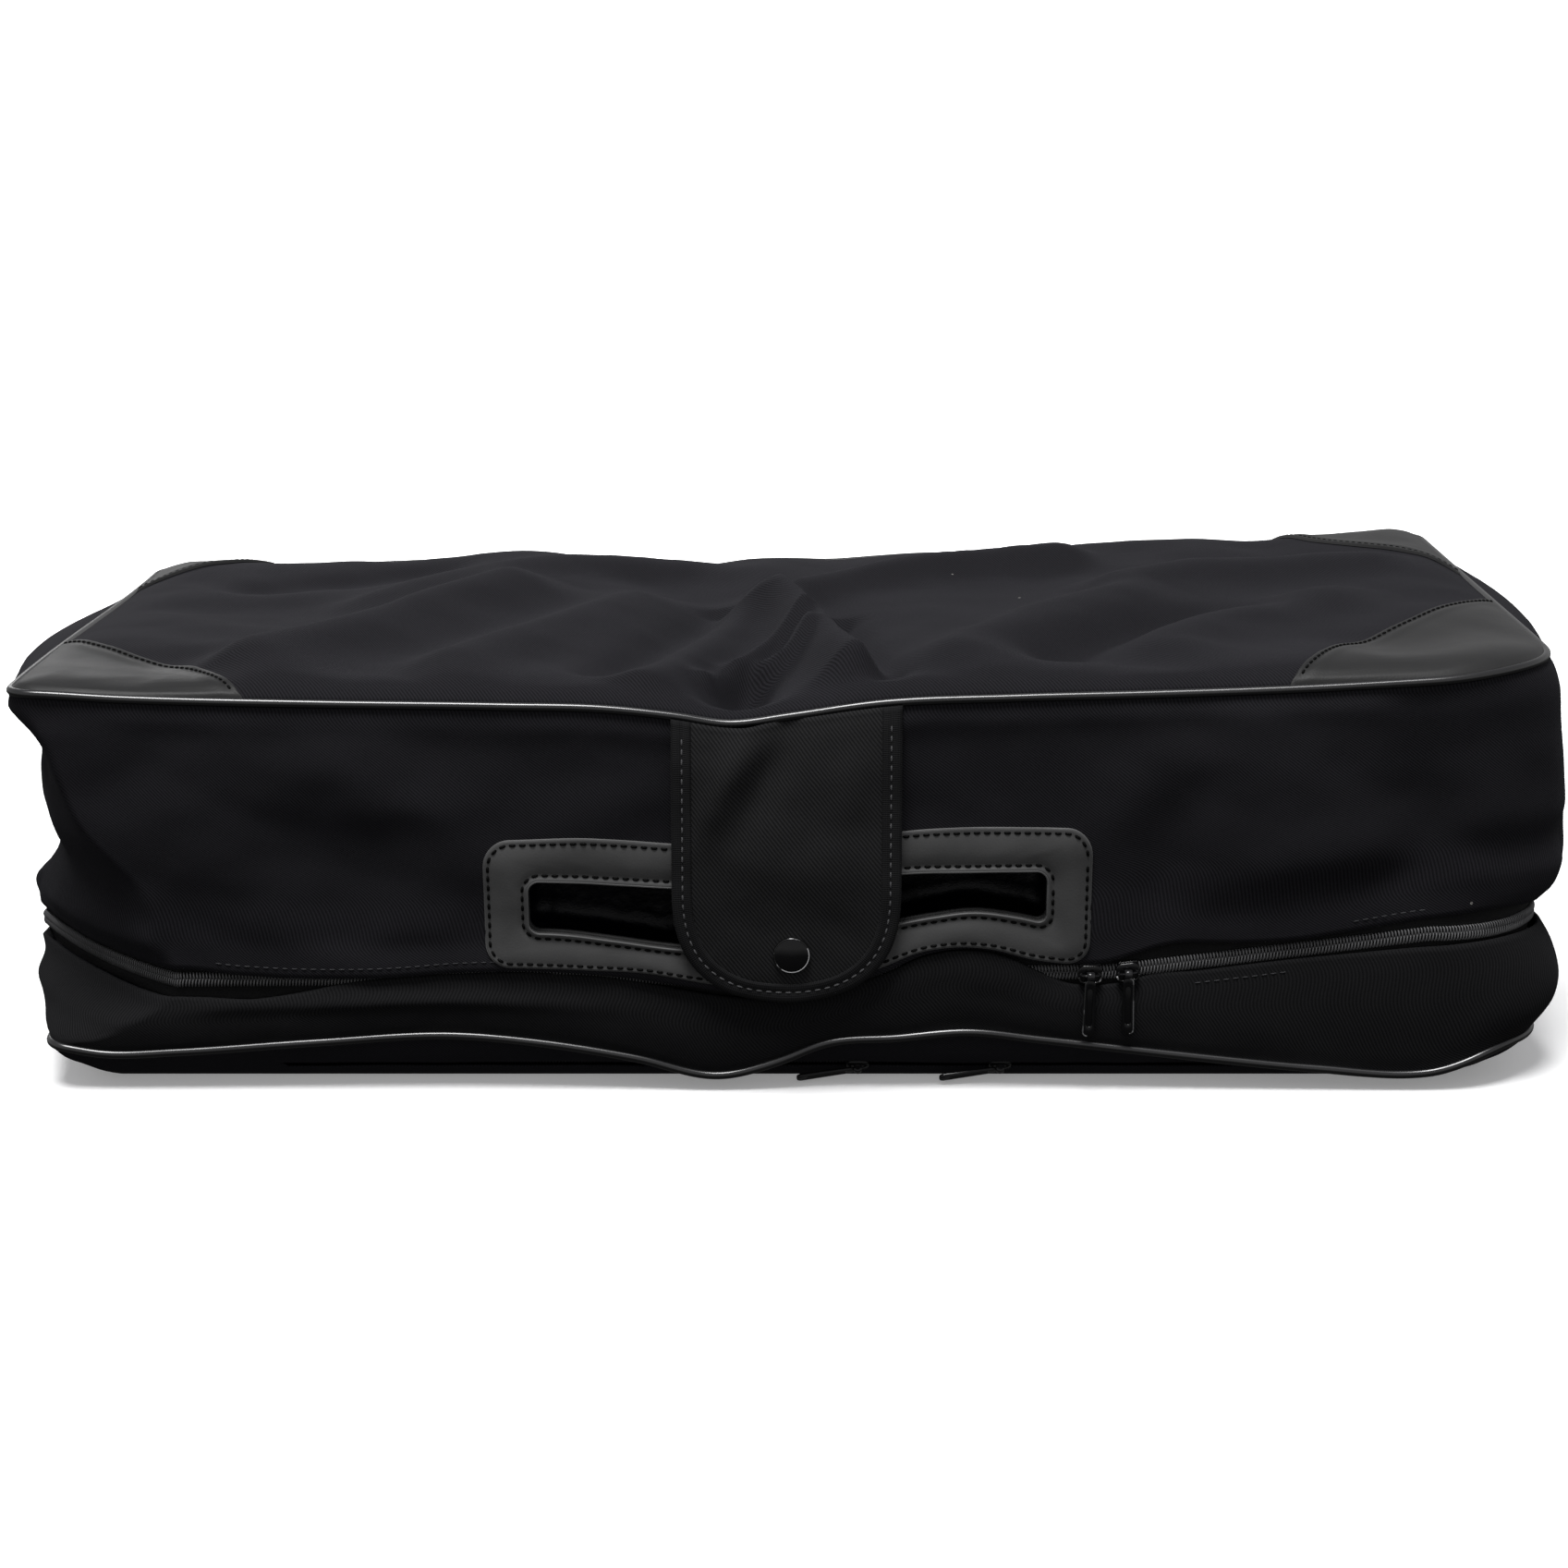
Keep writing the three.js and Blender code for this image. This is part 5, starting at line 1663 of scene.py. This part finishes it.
def make_pull(name, body, cad_node, centre, turn, glint_side=0):
    """A pull that hangs from the slider's loop: an eye and a hollowed tab, with a painted highlight along
    one side.
    """
    tab_out = pull_outline(2.45, -1.6, -25.2, 1.9, 0.14)
    tab_in = pull_outline(1.15, -5.2, -21.0, 1.1, 0.1)
    tab = plate(name + "_tab", tab_out, tab_in, -0.7, 0.7, 0.35, body)
    web = block(name + "_web", (0, 0, -13.0), (1.25, 0.25, 8.0), 0.1, body)
    eye_outline = [(1.0, -1.6), (1.5, -1.6), (1.8, -1.3), (1.8, 1.3), (1.5, 1.6), (1.0, 1.6)]
    eye = lathe(name + "_eye", eye_outline, (0, 0, 0), (1, 0, 0), body, 20)
    obj = join(name, [tab, web, eye], body)
    place(obj, centre, turn)
    # The tube along one side of the tab is a painted highlight.
    if glint_side:
        ring = pull_outline(2.3, -1.75, -25.0, 1.8, 0.14)
        wear_and_glint = sorted([(z, x) for x, z in ring if x * glint_side > 0.4])
        rim = tube(name + "_rim", [(x, -0.62, z) for z, x in wear_and_glint], 0.3, body, closed=False, sides=8)
        place(rim, centre, turn)
        finish_piece(rim, SIDE_GLINT)
    return finish_piece(obj, HARDWARE, [cad_node])


def joint_place(name):
    """Where a joint's axis is, in millimetres."""
    for joint in frame["joints"]:
        if joint["name"] == name:
            return [v * 1000 for v in joint["pos_m"]]
    raise KeyError(name)


def turned(degrees, axis):
    return Matrix.Rotation(math.radians(degrees), 4, axis)


# The zip's slope under each slider, how far its pull hangs askew, and the side of the pull that carries a
# painted highlight.
for hand, tilt, askew, rubbed in (("left", 0.517, 1.2, -1), ("right", 7.125, -0.6, 1)):
    pivot = joint_place("pull_" + hand + "_swing")
    seat = (pivot[0], FRONT, pivot[2])
    slider_names = ("main_" + hand + "_slider", "slider_" + hand, "main_slider_" + hand)
    make_slider(*slider_names, seat, turned(-tilt, "Y"), MAIN_LOOP_REACH)
    pull_names = ("main_" + hand + "_pull", "pull_" + hand, "main_pull_" + hand)
    make_pull(*pull_names, pivot, turned(askew, "Y"), rubbed)

for hand, stop_at in (("left", 0.0), ("right", ZIP_LENGTH)):
    seat = along_zip(stop_at, COIL_DEPTH, 0.0)
    stop = block("zip_end_clip_" + hand, seat, (1.5, 1.6, 3.6), 0.5, "base")
    finish_piece(stop, HARDWARE, ["main_zip_stop_" + hand])

# ---------- the underside, with the pocket zip in its front slope ----------
SLOPE_Y, SLOPE_Z = -131.0, 7.85
SLOPE_TILT = math.radians(48.9)
SLOPE_RUN = (-math.sin(SLOPE_TILT), math.cos(SLOPE_TILT))
POCKET_HALF = 205


UNDER_LOW = 0.25


def under_ring(run, inset, height):
    """One ring of the underside. In front it keeps to the slope, run millimetres up from the pocket zip."""
    plan = plan_level(BOTTOM_Z, inset=inset)
    x, y = plan[:, 0].copy(), plan[:, 1].copy()
    z = np.full(NC, float(height))
    if run is None:
        return np.stack([x, y, z], axis=1)
    seam = smooth((run - 5) / 8.6)
    slope_y = SLOPE_Y + run * SLOPE_RUN[0]
    slope_z = np.maximum(SLOPE_Z + run * SLOPE_RUN[1], UNDER_LOW)
    w = 1 - smooth((y - FRONT - inset) / 4)
    y = mix(y, slope_y, w)
    z = mix(z, slope_z, w) + bottom_lift(x, y) * seam
    return np.stack([x, y, z], axis=1)


# The rings of the underside: the run up its front slope, the inset and the height elsewhere.
UNDER = (
    [(13.6, 0.6, 17.4), (12.0, 1.4, 16.2), (10.0, 2.6, 14.4), (8.0, 4.2, 12.4), (6.0, 6.0, 10.6)]
    + [(4.6, 7.4, 9.4), (3.2, 8.8, 8.4), (2.7, 9.5, 7.9), (-2.7, 13.4, 4.8), (-3.2, 13.9, 4.4)]
    + [(-5.0, 15.4, 3.2), (-7.4, 17.6, 1.8), (-9.4, 20.0, 0.8), (-11.6, 24, 0.3), (None, 34, 0.25)]
    + [(None, 60, 0.25), (None, 100, 0.25), (None, 140, 0.25)]
)
under_rings = [under_ring(*row) for row in UNDER]
for ring in under_rings:
    sag = 0.5 * cloth_noise(ring[:, 0], ring[:, 1], ring[:, 2] * 3, 45, 2)
    ring[:, 2] = np.maximum(ring[:, 2] + sag * smooth((ring[:, 2] - 1) / 6), UNDER_LOW)


def pocket_mouth(r, c):
    return UNDER[r][0] == 2.7 and IS_FRONT[c] and abs(under_rings[r][c, 0]) < POCKET_HALF


def fill_underside(work):
    """Closes the middle of the underside. Its rim lies flat, near the bag's middle."""
    bounds = [e for e in work.edges if e.is_boundary]
    rim = [e for e in bounds if abs(e.verts[0].co.y - MID_Y / 1000) < 0.02]
    rim += [e for e in bounds if e not in rim and max(v.co.z for v in e.verts) < 0.0004]
    bmesh.ops.edgeloop_fill(work, edges=rim)


under = loft("underside_cloth", under_rings, "base", skip=pocket_mouth)
edit_mesh(under, fill_underside)
thicken(under, 0.9)
finish_piece(under, CLOTH, ["pocket_panel"])


def along_pocket(s, depth, up):
    """A point on the pocket zip: s from its left end, depth in from the slope and up along it."""
    s, depth, up = np.broadcast_arrays(*(np.asarray(value, float) for value in (s, depth, up)))
    y = SLOPE_Y + up * SLOPE_RUN[0] + depth * SLOPE_RUN[1]
    z = SLOPE_Z + up * SLOPE_RUN[1] - depth * SLOPE_RUN[0]
    return np.stack([s - POCKET_HALF + 1, y, z], axis=-1)


POCKET_LENGTH = 2.0 * POCKET_HALF - 2
POCKET_SWEEP = (1.45, 0.95)
for half, side in (("upper", 1), ("lower", -1)):
    coil_nodes = ["pocket_" + half + "_coil"]
    coil("pocket_coil_" + half, along_pocket, POCKET_LENGTH, side, "base", coil_nodes, POCKET_SWEEP, 0.34)
for half, side, far in (("upper", 1, 7.0), ("lower", -1, 5.4)):
    tape_nodes = ["pocket_" + half + "_tape"]
    tape("pocket_tape_" + half, along_pocket, POCKET_LENGTH, side, "base", tape_nodes, far, 3.4)
SLOPE_TURN = Matrix.Rotation(SLOPE_TILT, 4, "X")
for hand in ("left", "right"):
    pivot = joint_place("pocket_pull_" + hand + "_swing")
    seat = (pivot[0], SLOPE_Y, SLOPE_Z)
    slider_names = ("pocket_" + hand + "_slider", "pocket_slider_" + hand, "pocket_slider_" + hand)
    make_slider(*slider_names, seat, SLOPE_TURN, POCKET_LOOP_REACH, wear_and_glint=False)
    droop = turned(9, "Z") @ turned(90, "Y")
    pull_names = ("pocket_" + hand + "_pull", "pocket_pull_" + hand, "pocket_pull_" + hand)
    make_pull(*pull_names, pivot, SLOPE_TURN @ droop)


# ---------- linings, floor, bands and hinge ----------
LINING_INSET = 4.4
LID_LINING_STEPS = 22
BASE_LINING_STEPS = 8
FLOOR_SATIN_Z = 19.9


def lining_ring(left_z, right_z, height):
    plan = plan_level(left_z, right_z, LINING_INSET)
    x, y = plan[:, 0], plan[:, 1]
    return np.stack([x, y, height(x, y)], axis=1)


def lid_lining_ring(t):
    def height(x, y):
        z = mix(lid_edge(x, y) + 5, TOP_Z - 4, t)
        return z + lid_lift(x, y, z)

    ring = lining_ring(mix(58, 154, t), mix(72, 154, t), height)
    hand_room = smooth((GRIP_HALF_W + 12 - np.abs(ring[:, 0] - GRIP_X)) / 16) * IS_FRONT
    plain = ring[:, 2] - lid_lift(ring[:, 0], ring[:, 1], ring[:, 2])
    room = mix(2.6, 24, float(smooth(np.array(t * 9.0))))
    ring[:, 1] += room * hand_room * smooth((34 - np.abs(plain - GRIP_Z)) / 16)
    pucker = 1.2 * cloth_noise(ring[:, 0], ring[:, 1], ring[:, 2], 34)
    ring[:, :2] -= outward(ring[:, :2]) * (0.9 + np.abs(pucker))[:, None]
    return ring


lid_lining_rings = [lid_lining_ring(i / LID_LINING_STEPS) for i in range(LID_LINING_STEPS + 1)]
for inset, drop in ((9, 2), (16, 4), (30, 7), (60, 12), (100, 17), (138, 21)):
    plan = plan_level(TOP_Z, inset=inset)
    x, y = plan[:, 0], plan[:, 1]
    under_top = np.array([top_at(float(a), float(b))[0] for a, b in plan])
    lid_lining_rings.append(np.stack([x, y, under_top - drop - 0.8], axis=1))
lid_satin = loft("lid_satin", lid_lining_rings, "lid")
close_middle(lid_satin, lid_lining_rings)
thicken(lid_satin, 0.5)
finish_piece(lid_satin, LINING, ["lid_lining"])


def base_lining_ring(t):
    ring = lining_ring(mix(44, 22, t), mix(60, 22, t), lambda x, y: mix(base_edge(x, y) - 3, 21.5, t))
    ring[:, :2] -= outward(ring[:, :2]) * 0.9
    return ring


base_lining_rings = [base_lining_ring(i / BASE_LINING_STEPS) for i in range(BASE_LINING_STEPS + 1)]
for inset in (8, 14, 30, 60, 100, 138):
    z = 20.4 if inset == 8 else FLOOR_SATIN_Z
    plan = plan_level(BOTTOM_Z, inset=inset)
    ripple = 0.25 * cloth_noise(plan[:, 0], plan[:, 1], 0 * plan[:, 0], 50)
    base_lining_rings.append(np.stack([plan[:, 0], plan[:, 1], z + ripple], axis=1))
base_satin = loft("base_satin", base_lining_rings, "base")
close_middle(base_satin, base_lining_rings)
thicken(base_satin, 0.4)
finish_piece(base_satin, LINING, ["base_lining"])

board_rings = []
for inset, z in ((7.5, 17.9), (6.6, 17.5), (6.2, 17.0), (6.6, 16.5), (7.5, 16.1)):
    plan = plan_level(BOTTOM_Z, inset=inset)
    board_rings.append(np.stack([plan[:, 0], plan[:, 1], np.full(NC, z)], axis=1))
board = section_loop("floor_board", np.array(board_rings).transpose(1, 0, 2)[:, ::-1], "base")
finish_piece(board, BINDING, ["base_floor"])

BAND_STEPS = 60
BAND_SECTION = (-1, -0.9, -0.5, 0, 0.5, 0.9, 1)
for hand, at_x in (("left", -125), ("right", 125)):
    band_rows = []
    band_front, band_back = span("garment_band_" + hand, 1)
    for i in range(BAND_STEPS + 1):
        y = mix(band_front, band_back, i / BAND_STEPS)
        rise = 0.9 * math.sin(math.pi * i / BAND_STEPS) + 0.3 * fractal(at_x, y, 0, 40)
        middle_x = 0.5 * math.sin(i * 0.35)
        low = 21.0 + max(rise, 0)
        band_rows.append([(at_x + u * 15 + middle_x, y, low + 0.15 * (1 - u * u)) for u in BAND_SECTION])
    band = loft("hold_band_" + hand, band_rows, "base", closed=False)
    if band.data.polygons[0].normal.z < 0:
        band.data.flip_normals()
    thicken(band, 1.0)
    finish_piece(band, ELASTIC, ["garment_band_" + hand])
    for end_y in (band_front + 5, band_back - 5):
        box_line = [(at_x + 12 * a, end_y + 3 * b, 21.5) for a, b in ((-1, -1), (1, -1), (1, 1), (-1, 1))]
        box_line = resample(box_line, 1.0, closed=True)
        stitch_name = "band_stitching_" + hand + ("_front" if end_y < 0 else "_back")
        box_up = [(0, 0, 1)] * len(box_line)
        stitches(stitch_name, box_line, box_up, 3.0, 2.2, 0.3, "base", PALE_THREAD, closed=True)

HINGE_LOW, HINGE_HIGH, HINGE_STEPS = 38.5, 56.5, 12
hinge_x = np.linspace(-272, 272, 120)
hinge_rows = []
for i in range(HINGE_STEPS + 1):
    z = mix(HINGE_LOW, HINGE_HIGH, i / HINGE_STEPS)
    hinge_rows.append([(x, BACK - 1.9 + 1.5 * (1 - (x / HALF_X) ** 2), z) for x in hinge_x])
hinge = loft("hinge_cloth", hinge_rows, "base", closed=False)
thicken(hinge, 0.8, 0)
settle(hinge)
hinge.data.materials.clear()
hinge.data.materials.append(BINDING)
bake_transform(hinge)
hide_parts("hinge_strip")

# ---------- stitch rows along the cloth edges ----------
def edge_row(name, line, body):
    stitches("edge_stitching_" + name, line, [OUT_FRONT] * len(line), 3.8, 2.4, 0.25, body, SEAM_THREAD)


for row_name, row_x, above in (
    ("lid_left", np.linspace(-228, -112, 60), 4.0),
    ("lid_right", np.linspace(226, 256, 24), 3.4),
):
    edge_row(row_name, lid_front(row_x, LID_EDGE(row_x) - LIFT_ROWS[0](row_x) + above, 0.1), "lid")
base_tree = grid_tree(base_grid, grid_faces(BASE_ROWS, NC, wrap=True))
row_line = []
for x in np.linspace(164, 204, 40):
    z = float(BASE_EDGE(x)) - 4.6
    hit, _, _, _ = base_tree.ray_cast(Vector((x, -400, z)), Vector((0, 1, 0)))
    row_line.append((x, hit.y - 0.1 if hit else FRONT - 2, z))
edge_row("base", row_line, "base")

# ---------- camera, light and floor ----------
CAMERA_LENS = 69.8
CAMERA_PLACE = (0, -1.2952, 0.4469)
CAMERA_DOWN = 15.43
FLOOR_HALF = 60
FLOOR_GLOW = 0.22

camera_data = bpy.data.cameras.new("camera")
camera_data.lens = CAMERA_LENS
camera_data.sensor_width = 36
camera = bpy.data.objects.new("camera", camera_data)
camera.location = CAMERA_PLACE
camera.rotation_euler = (math.radians(90 - CAMERA_DOWN), 0, 0)
bpy.context.scene.collection.objects.link(camera)
bpy.context.scene.camera = camera

floor_mesh = bpy.data.meshes.new("floor")
floor_corners = [(a * FLOOR_HALF, b * FLOOR_HALF, 0) for a, b in ((-1, -1), (1, -1), (1, 1), (-1, 1))]
floor_mesh.from_pydata(floor_corners, [], [(0, 1, 2, 3)])
floor = bpy.data.objects.new("floor", floor_mesh)
bpy.context.scene.collection.objects.link(floor)
floor_mat, floor_tree, floor_shader = material("floor_paper")
for floor_input, floor_value in (
    ("Base Color", (*grey(0.93), 1)),
    ("Roughness", 0.9),
    ("Specular IOR Level", 0.1),
    ("Emission Color", (*grey(1), 1)),
    ("Emission Strength", FLOOR_GLOW),
):
    floor_shader.inputs[floor_input].default_value = floor_value
floor_mesh.materials.append(floor_mat)
floor.visible_diffuse = False
floor.visible_glossy = False


def lamp(name, kind, spot, aim, power, size):
    """A lamp at a spot in metres, turned to its aim. size is a sun's angle or a panel's two sides."""
    data = bpy.data.lights.new(name, kind)
    data.energy = power
    if kind == "SUN":
        data.angle = math.radians(size)
    else:
        data.shape = "RECTANGLE"
        data.size, data.size_y = size
    obj = bpy.data.objects.new(name, data)
    obj.location = spot
    obj.rotation_euler = (Vector(aim) - Vector(spot)).to_track_quat("-Z", "Y").to_euler()
    bpy.context.scene.collection.objects.link(obj)
    return obj


lamp("key_panel", "SUN", (-0.2, -0.52, 2.0), (0, 0, 0), 2.5, 22)
rake = lamp("rake_back", "AREA", (-0.3, 1.7, 0.7), (0, 0, 0.15), 30, (0.5, 0.25))
rake.visible_glossy = False
lamp("back_left", "AREA", (-0.75, 1.2, 0.6), (-0.2, 0, 0.16), 1.0, (0.5, 0.3))

world = bpy.data.worlds.new("studio")
world.use_nodes = True
sky = world.node_tree
sky_level = scaled(sky, split_node(sky, "Generated")[2], 0.5, 0.5)
sky_tone = ramp_node(sky, sky_level, [(0.38, grey(0.05)), (0.53, grey(0.44)), (1.0, grey(0.28, 0.30))])
sky.links.new(sky_tone, sky.nodes["Background"].inputs[0])
sky.nodes["Background"].inputs[1].default_value = 1.0
bpy.context.scene.world = world
bpy.context.scene.view_settings.view_transform = "Standard"
